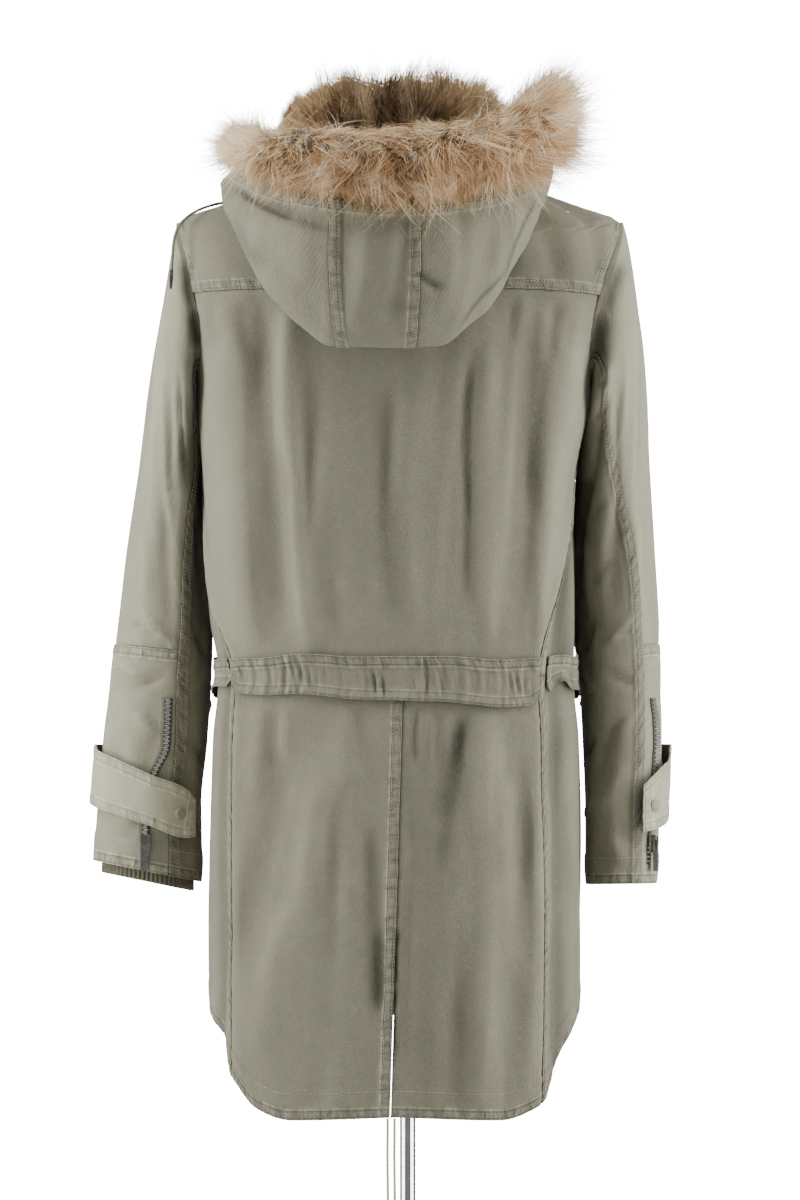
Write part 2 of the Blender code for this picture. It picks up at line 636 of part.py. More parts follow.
def sleeve_point(side, angle, v):
    """The sleeve's outer surface: angle 0 is its outer line, 90 its back, 180 its inner line."""
    t = SLEEVE[side]
    a = np.radians(angle)
    outer = np.stack([smooth(t, "v", "out_x", v), smooth(t, "v", "out_z", v)], axis=-1)
    inner = np.stack([smooth(t, "v", "in_x", v), smooth(t, "v", "in_z", v)], axis=-1)
    middle = (outer + inner) / 2
    half = (outer - inner) / 2
    deep = smooth(t, "v", "deep", v)
    power = 2.25
    c, s = np.cos(a), np.sin(a)
    r = (np.abs(s) ** power + np.abs(c) ** power) ** (-1 / power)
    xz = middle + half * (r * c)[..., None]
    y = smooth(t, "v", "mid_y", v) - deep * r * s
    ring = np.stack([xz[..., 0], y, xz[..., 1]], axis=-1)
    sign = -1 if side == "left" else 1
    at, h = armhole_at(sign, a)
    start = body(at, h) + np.array([0.0, 0.0, GAP * 1.5]) * (c < 0)[..., None]
    start = start + np.array([sign, 0.0, 0.0]) * (GAP * 1.2 + LEAVE * ease(0, LEAVE_V, v))[..., None]
    share = ease(LEAVE_V, 0.12, v)[..., None]
    return start * (1 - share) + ring * share


def sleeve_folds(angle, v):
    total = np.zeros(np.shape(angle))
    for i in range(len(SLEEVE_FOLDS["rise"])):
        f = {k: c[i] for k, c in SLEEVE_FOLDS.items()}
        u = (v - f["v_top"]) / (f["v_low"] - f["v_top"])
        centre = f["angle_top"] + (f["angle_low"] - f["angle_top"]) * u
        away = (np.mod(angle - centre + 180, 360) - 180) * 0.0011
        soft = ease(-0.1, 0.15, u) * (1 - ease(0.85, 1.1, u))
        total = total + f["rise"] * soft * np.exp(-((away / f["width"]) ** 2))
    return total


def sleeve(side, angle, v, out=0.0):
    """The sleeve with its folds, moved out by a distance."""
    angle = np.asarray(angle, float)
    v = np.asarray(v, float)

    def plain(a, w):
        return sleeve_point(side, a, np.clip(w, 0, 1))

    step = 0.003
    w = np.clip(v, step, 1 - step)
    away = normals(plain, angle, w, 1.0, step)
    turned_in = -1 if side == "right" else 1
    return plain(angle, v) - away * (turned_in * (sleeve_folds(angle, v) + out))[..., None]


def sleeve_middle(side, v):
    t = SLEEVE[side]
    x = (smooth(t, "v", "out_x", v) + smooth(t, "v", "in_x", v)) / 2
    z = (smooth(t, "v", "out_z", v) + smooth(t, "v", "in_z", v)) / 2
    return np.stack([x, smooth(t, "v", "mid_y", v), z], axis=-1)


def columns_between(start, end):
    return int(round(float(np.max(np.abs(end - start))) / SLEEVE_STEP)) + 1


def sleeve_panel(side, name, front, back, v):
    """A panel of the sleeve between two seams, which are angles at each row."""
    columns = columns_between(front, back)
    room = SEAM_ANGLE * (2.0 - 0.8 * ease(0.2, 0.4, v))
    angle = spread_angles(front + room, back - room, columns)
    rows = np.repeat(v[:, None], columns, 1)
    wall(name, sleeve(side, angle, rows), sleeve(side, angle, rows, -WALL), "cotton")


def armhole_at(sign, a):
    """The armhole's edge on the body, at an angle round the sleeve in radians."""
    h = ARM_MID + ARM_HALF * np.cos(a)
    return sign * (90 - ARM_ANGLE * np.sin(a)), h


LEAVE = 0.0042  # the sleeve first leaves the armhole sideways by this much
LEAVE_V = 0.02
SLEEVE_STEP = 180 / ARM_STEPS
SEAM_ANGLE = 0.2


UPPER_ROWS = np.array([0.0, LEAVE_V, 0.05, 0.09, 0.15, 0.23, 0.32, 0.43, 0.54, ELBOW - 0.0005])
LOWER_ROWS = np.array([ELBOW, 0.72, 0.79, 0.86, 0.93, 1.0])
UNDER_ROWS = np.concatenate([UPPER_ROWS[:-1], LOWER_ROWS])


def seam_back(side, v):
    return smooth(SLEEVE[side], "v", "seam", v)


def seam_front(v):
    return 26.0 * ease(0, 0.4, v) - 126.0


def make_sleeve(side):
    for name, v in (("outer_upper", UPPER_ROWS), ("outer_lower", LOWER_ROWS)):
        sleeve_panel(side, f"sleeve_{name}_{side}", seam_front(v), seam_back(side, v), v)
    back, front = seam_back(side, UNDER_ROWS), seam_front(UNDER_ROWS) + 360
    sleeve_panel(side, f"sleeve_under_{side}", back, front, UNDER_ROWS)


RIB_INSET = 0.0078  # the knit cuff stands this far in from the sleeve's surface
RIB_TOP = LOWER_ROWS[4]  # the sleeve's row where the cuff is sewn in
RIBS = 30
RIB_DROP = {"left": 0.011, "right": -0.004}  # how far it shows below the sleeve's hem


def sleeve_ring(side, v, out):
    """The sleeve's own corners all round at one of its rows, at twice the number of ribs."""
    back = float(seam_back(side, v))
    front = float(seam_front(v))
    outer = columns_between(seam_front(LOWER_ROWS), seam_back(side, LOWER_ROWS))
    under = columns_between(seam_back(side, UNDER_ROWS), seam_front(UNDER_ROWS) + 360)
    angle = np.concatenate([np.linspace(front, back, outer)[:-1], np.linspace(back, front + 360, under)[:-1]])
    corner = sleeve(side, angle, np.full(len(angle), v), out)
    share = np.linspace(0, len(angle), RIBS * 2, endpoint=False)
    i = share.astype(int)
    u = (share - i)[:, None]
    return corner[i] * (1 - u) + corner[(i + 1) % len(angle)] * u


def make_rib_cuff(side):
    """The knitted inner cuff, sewn in at its top: ribs raised over a plain inside."""
    t = SLEEVE[side]
    z0 = float(t["out_z"][-1] + t["in_z"][-1]) / 2
    outer = [sleeve_ring(side, RIB_TOP, -WALL - 2 * GAP)]
    inner = [sleeve_ring(side, RIB_TOP, -2 * WALL - 2 * GAP)]
    ridge = np.where(np.arange(RIBS * 2) % 2, 0.0011, 0.0)
    for level, v in ((0.034, 0.945), (-RIB_DROP[side], 0.985)):
        ring = sleeve_ring(side, v, 0.0)
        middle = sleeve_middle(side, np.array(v))
        away = unit((ring - middle) * np.array([1, 1, 0]))
        ring[:, 2] = z0 + level
        inner.append(ring - away * (RIB_INSET + WALL))
        outer.append(ring - away * (RIB_INSET - ridge)[:, None])
    wall(f"inner_cuff_{side}", np.array(outer), np.array(inner), "rib", wrap=True)


def v_at(side, angle, z):
    """The sleeve's row at a height, below the elbow."""
    v = np.full(np.shape(z), 0.85)
    for _ in range(12):
        here = sleeve_point(side, angle, v)[..., 2]
        v = np.clip(v + (here - z) / 0.62, 0.6, 1.0)
    return v


def make_strap(side):
    t = STRAP[side]
    angle = np.linspace(t["angle"][0], t["angle"][-1], 15)
    share = np.linspace(0, 1, 4)
    low = smooth(t, "angle", "low", angle)
    high = smooth(t, "angle", "high", angle)
    z = low[None, :] * (1 - share[:, None]) + high[None, :] * share[:, None]
    a = np.repeat(angle[None, :], len(share), 0)
    v = v_at(side, a, z)
    off = np.repeat(smooth(t, "angle", "off", angle)[None, :], len(share), 0)
    inner = sleeve(side, a, v, off)
    outer = sleeve(side, a, v, off + STRAP_WALL)
    wall(f"cuff_strap_{side}", outer, inner, "cotton")
    angle_at, height = (np.array(value) for value in SNAP_AT[side])
    row = v_at(side, angle_at, height)
    lift = float(smooth(t, "angle", "off", angle_at)) + STRAP_WALL
    here = sleeve(side, angle_at, row, np.array(lift))
    face = unit(sleeve(side, angle_at, row, np.array(lift + 0.002)) - here)
    disc(f"cuff_snap_{side}", here + face * 0.0006, face, SNAP_R, 0.0022, "cotton")


def zip_frame(side, z):
    """Where the zip runs: its point on the sleeve, the way out, and the way down."""
    t = ZIP_PATH[side]
    at = smooth(t, "z", "angle", z)
    v = v_at(side, at, z)
    here = sleeve(side, at, v)
    out = unit(sleeve(side, at, v, 0.002) - here)
    return at, v, here, out


def make_zip(side):
    at, v = zip_frame(side, np.linspace(*ZIP_ENDS, ZIP_ROWS))[:2]
    a = at[:, None] + ZIP_ANGLE * np.array([-1.0, 0.0, 1.0])
    rows = np.repeat(v[:, None], 3, 1)
    inner = sleeve(side, a, rows, 2 * GAP)
    outer = sleeve(side, a, rows, 2 * GAP + ZIP_WALL)
    wall(f"zip_{side}", outer, inner, "dark_metal")


def block(name, centre, axes, size, look, hole=None):
    """A box on three axes; hole is a square window through its thin way."""
    a, b, c = axes
    half = np.array(size) / 2
    if hole is None:
        points = [
            centre + a * half[0] * i + b * half[1] * j + c * half[2] * k
            for i in (-1, 1)
            for j in (-1, 1)
            for k in (-1, 1)
        ]
        faces = [(0, 1, 3, 2), (4, 6, 7, 5), (0, 4, 5, 1), (2, 3, 7, 6), (0, 2, 6, 4), (1, 5, 7, 3)]
        return node(name, points, faces, look, smooth=False)
    low, high, side = hole
    outer = [(-half[0], -half[2]), (half[0], -half[2]), (half[0], half[2]), (-half[0], half[2])]
    window = [(-side, low), (side, low), (side, high), (-side, high)]
    points = []
    for depth in (-half[1], half[1]):
        for ring in (outer, window):
            points += [centre + a * x + b * depth + c * z for x, z in ring]
    faces = []
    for k in range(4):
        m = (k + 1) % 4
        faces.append((k, m, 4 + m, 4 + k))
        faces.append((8 + m, 8 + k, 12 + k, 12 + m))
        faces.append((m, k, 8 + k, 8 + m))
        faces.append((4 + k, 4 + m, 12 + m, 12 + k))
    return node(name, points, faces, look, smooth=False)


PULL_LENGTH = 0.030
PULL_WIDTH = {"left": 0.0088, "right": 0.0066}
PULL_THICK = 0.0016
BAR = 0.0009  # half the thickness of the pull's bar inside the bridge
PLATE_OUT = (0.0024, 0.0046)  # the slider's plate, from the sleeve's surface out
BRIDGE_OUT = 0.0100
HINGE_OUT = 0.0068
HINGE_UP = 0.0030
BRIDGE_HALF = 0.0040  # half the bridge's length along the zip
BRIDGE_WIDE = 0.0026
PULL_WINDOW = 0.0070
PLATE_WIDE = 0.0090
PLATE_TALL = 0.0170


def slider_axes(side):
    """The slider's foot on the sleeve, across the zip, and out of the cloth, level."""
    here, out = zip_frame(side, np.array(SLIDER_Z))[2:]
    out = unit(np.array([out[0], out[1], 0.0]))
    across = unit(np.cross(np.array([0.0, 0.0, 1.0]), out))
    return here, across, out


def make_slider(side):
    """A plate with a bridge on it, which the pull tab's bar goes through."""
    here, across, out = slider_axes(side)
    up = np.array([0.0, 0.0, 1.0])
    low, high = PLATE_OUT
    size = (PLATE_WIDE, high - low, PLATE_TALL)
    centre = here + out * (low + high) / 2
    plate = block(f"zip_slider_{side}", centre, (across, out, up), size, "dark_metal")
    tall = BRIDGE_OUT - high + 0.0006
    middle = here + out * (BRIDGE_OUT - tall / 2) + up * HINGE_UP
    room = 0.0022
    at = HINGE_OUT - (BRIDGE_OUT - tall / 2)
    window = (at - room, at + room - 0.0001, 0.0026)
    size = (2 * BRIDGE_HALF, BRIDGE_WIDE, tall)
    bridge = block(f"bridge_{side}", middle, (up, across, out), size, "dark_metal", window)
    bridge.hide_render = True
    bridge.display_type = "WIRE"
    joined = plate.modifiers.new("Bridge", "BOOLEAN")
    joined.operation = "UNION"
    joined.object = bridge


def make_pull(side):
    """A flat tab that hangs from its bar, in the bridge, and swings on it."""
    here, across, out = slider_axes(side)
    up = np.array([0.0, 0.0, 1.0])
    hinge = here + out * HINGE_OUT + up * HINGE_UP
    centre = hinge + up * (BAR - PULL_LENGTH / 2)
    top = PULL_LENGTH / 2
    window = (top - 2 * BAR - PULL_WINDOW, top - 2 * BAR, BRIDGE_WIDE / 2 + 0.0006)
    size = (PULL_WIDTH[side], PULL_THICK, PULL_LENGTH)
    block(f"pull_tab_{side}", centre, (across, out, up), size, "dark_metal", window)


HOOD_STATIONS = ("roll", "in", "fold", "out")
HOOD_EDGE = 5.0  # the opening's edge, counted in stations from the neck seam


def hood_rows(angle):
    """Radius and height of each station of the hood, from the neck seam to the opening."""
    neck = body_base(angle, np.full(angle.shape, NECK_H))
    radius = [np.hypot(neck[..., 0] - CX, neck[..., 1])]
    height = [neck[..., 2] + GAP]
    for name in HOOD_STATIONS:
        radius.append(smooth(HOOD, "angle", name + "_r", np.abs(angle)))
        height.append(smooth(HOOD, "angle", name + "_z", np.abs(angle)))
    radius.append(smooth(RUFF, "angle", "r", angle))
    height.append(smooth(RUFF, "angle", "z", angle) - smooth(RUFF, "angle", "high", angle) - 2 * GAP)
    return np.array(radius), np.array(height)


def through(p0, p1, p2, p3, u):
    return p1 + 0.5 * u * (p2 - p0 + u * (2 * p0 - 5 * p1 + 4 * p2 - p3 + u * (3 * (p1 - p2) + p3 - p0)))


def hood(angle, s):
    """The hood's outer cloth surface; s runs from 0 at the neck seam to the opening."""
    angle, s = np.broadcast_arrays(np.asarray(angle, float), np.asarray(s, float))
    radius, height = hood_rows(angle)
    last = len(radius) - 1
    i = np.clip(np.floor(s).astype(int), 0, last - 1)
    u = np.clip(s, 0, last) - i

    def near(values, k):
        return np.take_along_axis(values, np.clip(i + k, 0, last)[None], 0)[0]

    r = through(near(radius, -1), near(radius, 0), near(radius, 1), near(radius, 2), u)
    z = through(near(height, -1), near(height, 0), near(height, 1), near(height, 2), u)
    t = np.radians(angle)
    lies = ease(1, 2.5, s)
    x = CX + HOOD_SHIFT * lies + r * np.sin(t) * (1 - HOOD_NARROW * lies)
    return np.stack([x, -r * np.cos(t), z], axis=-1)


def hood_away(angle, s):
    """Out of the cloth, on the side that faces the coat's back and then the camera."""
    e = 0.02
    across = hood(angle + 0.5, s) - hood(angle - 0.5, s)
    along = hood(angle, np.clip(s + e, 0, HOOD_EDGE)) - hood(angle, np.clip(s - e, 0, HOOD_EDGE))
    return unit(np.cross(across, along))


HOOD_ROWS = np.array([0.0, 0.4, 0.75, 1.0, 1.25, 1.6, 2.0, 2.5, 2.8, 3.0, 3.2, 3.5, 4.0, 4.5, HOOD_EDGE])
HOOD_COLUMNS = 11


HOOD_SPANS = {
    "hood_left": (-HOOD_FRONT, HOOD_SEAMS[0] - GAP_ANGLE, HOOD_COLUMNS),
    "hood_centre": (HOOD_SEAMS[0] + GAP_ANGLE, HOOD_SEAMS[1] - GAP_ANGLE, 4),
    "hood_right": (HOOD_SEAMS[1] + GAP_ANGLE, HOOD_FRONT, HOOD_COLUMNS),
}
HOOD_ANGLES = np.concatenate([
    np.linspace(-HOOD_FRONT, HOOD_SEAMS[0], HOOD_COLUMNS),
    np.linspace(HOOD_SEAMS[0], HOOD_SEAMS[1], 4)[1:-1],
    np.linspace(HOOD_SEAMS[1], HOOD_FRONT, HOOD_COLUMNS),
])


def make_hood():
    for name, (left, right, columns) in HOOD_SPANS.items():
        a, s = np.meshgrid(np.linspace(left, right, columns), HOOD_ROWS)
        outer = hood(a, s)
        wall(name, outer, outer - hood_away(a, s) * WALL, "cotton")


def make_lining():
    """The fur lining's pile: low in the bag of the hood and standing up along the roll."""
    angle = HOOD_ANGLES[np.abs(HOOD_ANGLES) < LINING_REACH]
    a, s = np.meshgrid(angle, np.append(HOOD_ROWS[2:-1], LINING_TOP))
    away = hood_away(a, s)
    foot = hood(a, s) - away * (WALL + LINING_GAP)
    middle = 1 - ease(32, 66, np.abs(a))
    stand = np.exp(-(((s - 1.1) / 0.35) ** 2)) * (1 - 0.75 * ease(30, 80, np.abs(a)))
    pile = 0.0022 + (LINING - 0.0022) * middle + LINING_ROLL * stand
    crease = 1 - 0.85 * np.exp(-(((s - 3.0) / 0.5) ** 2))
    top = foot - away * (pile * crease)[..., None]
    wall("hood_lining", top, foot, "lining_fur")


def make_ruff():
    """The fur ruff: a tapering roll that sits on the edge of the hood's opening."""
    angle = HOOD_ANGLES
    sides = 14
    turn = (2 * np.pi * np.arange(sides) / sides + 1.5 * np.pi)[None, :]
    r0, z0, deep, high = (smooth(RUFF, "angle", name, angle)[:, None] for name in ("r", "z", "deep", "high"))
    phase = 1.9 * np.arange(len(angle))[:, None]
    uneven = 1 + 0.04 * (1 + np.sin(turn)) * np.sin(turn * 3 + phase)
    r = r0 + deep * np.cos(turn) * uneven
    z = z0 + high * np.sin(turn) * uneven
    t = np.radians(angle)[:, None]
    x = CX + HOOD_SHIFT + r * np.sin(t) * (1 - HOOD_NARROW)
    rings = np.stack([x, -r * np.cos(t), z], axis=-1)
    ring_solid("fur_ruff", rings, "ruff_fur")


def cord(name, route, radius):
    """A free cord along a smooth curve through its route."""
    route = np.array(route, float)
    padded = np.vstack([2 * route[0] - route[1], route, 2 * route[-1] - route[-2]])
    points = []
    for i in range(1, len(padded) - 2):
        for u in (0, 0.5):
            points.append(through(*padded[i - 1 : i + 3], u))
    points.append(route[-1])
    curve = bpy.data.curves.new(name, "CURVE")
    curve.dimensions = "3D"
    curve.bevel_depth = radius
    curve.bevel_resolution = 2
    curve.use_fill_caps = True
    spline = curve.splines.new("POLY")
    spline.points.add(len(points) - 1)
    for point, place in zip(spline.points, points):
        point.co = (*place, 1)
    curve.materials.append(material("cord"))
    thing = bpy.data.objects.new(name, curve)
    bpy.context.collection.objects.link(thing)
    return points


def turned(name, profile, centre, look, sides=28):
    """A solid of revolution from (radius, height) pairs, closed flat at both ends."""
    rings = []
    for radius, z in profile:
        t = 2 * np.pi * np.arange(sides) / sides
        flat = np.full(sides, z)
        x, y = centre[0] + radius * np.cos(t), centre[1] + radius * np.sin(t)
        rings.append(np.stack([x, y, flat], axis=-1))
    ring_solid(name, np.array(rings), look)


def hem_cord_route(x):
    y = -0.1271
    top = HEM_LOW - 0.0006
    return (
        (x, y, top), (x, y, 0.492), (x - 0.0002, y - 0.0003, 0.472), (x, y - 0.0004, 0.452),
        (x + 0.0003, y - 0.0002, 0.430), (x + 0.0005, y, 0.406), (x + 0.0002, y + 0.0003, 0.384),
        (x, y + 0.0003, 0.364), (x, y, HEM_CORD_END),
    )


def make_cords():
    end = cord("hood_cord", SHOULDER_CORD, CORD_R)
    last = np.array(end[-1])
    way = unit(last - np.array(end[-2]))
    disc("hood_cord_tip", last + way * GAP, way, 0.0019, TIP_LENGTH, "dark_metal", 10)
    for name, x in HEM_CORDS.items():
        route = hem_cord_route(x)
        cord(f"hem_cord_{name}", route, HEM_CORD_R)
        x0, y0, z0 = route[-1]
        knot = ((0.0016, -0.0003), (0.0030, -0.0022), (0.0031, -0.0048), (0.0018, -0.0068), (0.0014, -0.0110))
        turned(f"hem_cord_knot_{name}", [(r, z0 + z) for r, z in knot][::-1], (x0, y0), "cord", 12)


def form_room(h):
    """The room between cloth and form: seated at the shoulders, free below them."""
    return SEAT + 0.016 * (1 - ease(1.27, 1.352, h)) + 0.005 * (1 - ease(1.345, 1.370, h))


def make_form():
    """A limbless torso with a short neck, smooth and whole, inside the coat."""
    sides = 32
    angle = np.linspace(-180, 180, sides, endpoint=False)
    t = np.radians(angle)
    outward = np.stack([np.sin(t), -np.cos(t), 0 * t], axis=-1)
    rings = []
    for h in (0.78, 0.86, 0.93, 1.00, 1.09, 1.17, 1.24, 1.29, 1.325, 1.345, 1.358, 1.370, 1.386, 1.398):
        hh = np.full(sides, h)
        away = normals(body_base, angle, hh, 0.4, 0.0008)
        rings.append(body_base(angle, hh) - away * (WALL + form_room(hh))[:, None])
    middle = np.array([CX, 0.0, 0.0])
    flat = np.array([1.0, 1.0, 0.0])
    under = []
    for z, share in ((FORM_BOTTOM, 0.82), (FORM_BOTTOM + 0.007, 0.92), (0.757, 0.97)):
        under.append(middle + (rings[0] - middle) * flat * share + np.array([0, 0, z]))
    neck = []
    for drop, radius in ((0.030, FORM_NECK_R), (0.005, FORM_NECK_R), (0.0, FORM_NECK_R - 0.006)):
        neck.append(middle + outward * radius + np.array([0, 0, FORM_NECK_TOP - drop]))
    base = (rings[-1] - middle) * flat * 0.86 + middle
    base[:, 2] = rings[-1][:, 2] + 0.004
    ring_solid("dress_form", np.array(under + rings + [base] + neck), "form")


def make_stand():
    turned("stand_pole", [(POLE_R, BASE_T + 0.022 + GAP), (POLE_R, FORM_BOTTOM - GAP)], (0, 0), "chrome", 16)
    base = [
        (BASE_R, 0.0), (BASE_R, BASE_T * 0.6), (BASE_R - 0.004, BASE_T), (0.022, BASE_T + 0.002),
        (0.014, BASE_T + 0.006), (0.0125, BASE_T + 0.022),
    ]
    turned("stand_base", base, (0, 0), "chrome", 32)


def make_hardware(side):
    make_slider(side)
    make_pull(side)


def main():
    clear()
    make_form()
    make_stand()
    make_yoke()
    make_upper_back()
    make_back_skirt("back_skirt_left", -1)
    make_back_skirt("back_skirt_right", 1)
    for sign, side in ((-1, "left"), (1, "right")):
        make_front(sign, side)
        make_front_skirt(sign, side)
        make_sleeve(side)
        make_rib_cuff(side)
        make_strap(side)
        make_zip(side)
        make_hardware(side)
    make_casings()
    make_placket()
    make_hood()
    make_lining()
    make_ruff()
    make_cords()


main()
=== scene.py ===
"""The parka on its dress form, dressed for the render: fine cloth, sewing, zips, knit and fur.

Metres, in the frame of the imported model. The surfaces below are those of the solids; each cloth
piece is a finer wall on the same surface, with its creases, seams and gathers.
"""

import math
from functools import partial

import bpy
import numpy as np

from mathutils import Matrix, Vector


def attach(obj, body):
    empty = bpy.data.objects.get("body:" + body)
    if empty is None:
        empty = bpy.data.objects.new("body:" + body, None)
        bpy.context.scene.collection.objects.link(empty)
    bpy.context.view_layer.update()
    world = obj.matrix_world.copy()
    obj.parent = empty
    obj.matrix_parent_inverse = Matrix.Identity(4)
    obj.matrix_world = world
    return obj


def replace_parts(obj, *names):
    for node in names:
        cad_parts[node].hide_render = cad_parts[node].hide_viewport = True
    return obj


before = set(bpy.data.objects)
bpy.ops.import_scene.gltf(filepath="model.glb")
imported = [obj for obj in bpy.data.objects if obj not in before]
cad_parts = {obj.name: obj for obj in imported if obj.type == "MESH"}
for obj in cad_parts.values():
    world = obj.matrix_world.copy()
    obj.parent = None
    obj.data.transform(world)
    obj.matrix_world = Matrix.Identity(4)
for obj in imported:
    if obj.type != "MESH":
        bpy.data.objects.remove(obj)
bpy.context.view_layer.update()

CX = -0.010  # the coat's middle plane, beside the pole's axis
WALL = 0.0018
GAP = 0.0003  # between pieces at a seam
NECK_H = 1.403
TIP_H = 1.356
UNDERARM_H = 1.190
ARM_MID = (TIP_H + UNDERARM_H) / 2
ARM_HALF = (TIP_H - UNDERARM_H) / 2
ARM_ANGLE = 33.0  # the armhole reaches this far each side of the body's side line
ARM_STEPS = 10  # steps from the shoulder tip to the underarm
WAIST_H = 0.925
CASING_LOW = 0.902
CASING_HIGH = 0.944
VENT_TOP = 0.680
HEM_LOW = 0.507
HEM_SIDE = 0.612
HEM_FRONT = 0.600
HOOD_FRONT = 158.0  # the hood's front edges, in degrees from the middle of the back
HOOD_SEAMS = (-17.0, 11.0)
CORD_R = 0.0015


def table(columns, *rows):
    """Named columns from rows of numbers."""
    return dict(zip(columns.split(), np.array(rows, float).T))


BODY = table(
    "h left right back front side_z back_z front_z square",
    (0.480, 0.177, 0.172, 0.128, 0.116, 0.480, 0.480, 0.480, 2.5),
    (0.605, 0.178, 0.173, 0.127, 0.116, 0.605, 0.605, 0.605, 2.5),
    (0.750, 0.177, 0.174, 0.122, 0.114, 0.750, 0.750, 0.750, 2.5),
    (0.860, 0.175, 0.172, 0.113, 0.110, 0.860, 0.860, 0.860, 2.5),
    (0.925, 0.170, 0.168, 0.106, 0.106, 0.925, 0.925, 0.925, 2.5),
    (0.990, 0.178, 0.168, 0.108, 0.109, 0.990, 0.990, 0.990, 2.6),
    (1.092, 0.183, 0.168, 0.115, 0.118, 1.092, 1.092, 1.092, 2.8),
    (1.190, 0.187, 0.180, 0.121, 0.124, 1.190, 1.190, 1.190, 3.0),
    (1.246, 0.197, 0.194, 0.122, 0.122, 1.246, 1.246, 1.246, 3.2),
    (1.300, 0.208, 0.208, 0.118, 0.113, 1.300, 1.296, 1.288, 3.1),
    (1.340, 0.209, 0.213, 0.109, 0.100, 1.339, 1.330, 1.307, 2.7),
    (1.356, 0.205, 0.210, 0.103, 0.093, 1.356, 1.344, 1.314, 2.5),
    (1.372, 0.168, 0.170, 0.092, 0.086, 1.371, 1.358, 1.323, 2.3),
    (1.388, 0.124, 0.124, 0.078, 0.079, 1.388, 1.372, 1.332, 2.1),
    (1.403, 0.084, 0.084, 0.066, 0.074, 1.403, 1.384, 1.340, 2.0),
)
SIDE_SEAM = table(
    "h left right",
    (0.500, 54.0, 47.0),
    (0.925, 57.0, 47.0),
    (0.955, 59.0, 48.0),
    (1.005, 72.0, 55.0),
    (1.100, 84.0, 74.0),
    (1.190, 90.0, 90.0),
)
HEM = table(
    "angle z",
    (0, HEM_LOW),
    (32, HEM_LOW - 0.003),
    (45, HEM_LOW + 0.009),
    (54, HEM_LOW + 0.037),
    (64, HEM_LOW + 0.075),
    (78, HEM_SIDE - 0.008),
    (95, HEM_SIDE),
    (130, HEM_FRONT),
    (180, HEM_FRONT),
)
FOLDS = table(
    "face x_top x_low z_top z_low width rise",
    (-1, -0.118, -0.092, 1.28, 0.95, 0.011, 0.0042),
    (-1, -0.140, -0.120, 1.28, 0.97, 0.012, -0.0036),
    (-1, -0.172, -0.150, 1.26, 0.94, 0.016, 0.0040),
    (-1, -0.030, -0.010, 1.20, 0.98, 0.020, -0.0020),
    (-1, 0.012, 0.014, 1.20, 0.96, 0.016, 0.0020),
    (-1, 0.061, 0.056, 1.23, 1.00, 0.009, -0.0036),
    (-1, 0.078, 0.076, 1.24, 0.97, 0.012, 0.0030),
    (-1, 0.122, 0.100, 1.28, 0.97, 0.013, -0.0036),
    (-1, 0.150, 0.120, 1.27, 0.95, 0.015, 0.0040),
    (-1, -0.071, -0.140, 0.87, 0.58, 0.020, 0.0045),
    (-1, -0.110, -0.160, 0.86, 0.66, 0.016, -0.0030),
    (-1, -0.036, -0.030, 0.78, 0.60, 0.011, -0.0045),
    (-1, 0.052, 0.030, 0.89, 0.74, 0.010, -0.0036),
    (-1, 0.078, 0.072, 0.86, 0.56, 0.016, 0.0036),
    (-1, 0.110, 0.100, 0.85, 0.60, 0.012, -0.0030),
    (-1, 0.126, 0.118, 0.80, 0.56, 0.010, 0.0030),
    (1, -0.115, -0.108, 1.24, 0.96, 0.016, 0.0036),
    (1, -0.070, -0.075, 1.20, 0.97, 0.013, -0.0028),
    (1, 0.070, 0.064, 1.22, 0.96, 0.015, 0.0032),
    (1, 0.115, 0.105, 1.24, 0.98, 0.014, -0.0030),
    (1, -0.100, -0.118, 0.88, 0.64, 0.016, 0.0038),
    (1, -0.070, -0.078, 0.86, 0.66, 0.012, -0.0030),
    (1, 0.060, 0.066, 0.88, 0.65, 0.015, -0.0030),
    (1, 0.095, 0.110, 0.87, 0.64, 0.018, 0.0036),
)
SLEEVE_COLUMNS = "v out_x out_z in_x in_z deep mid_y seam"
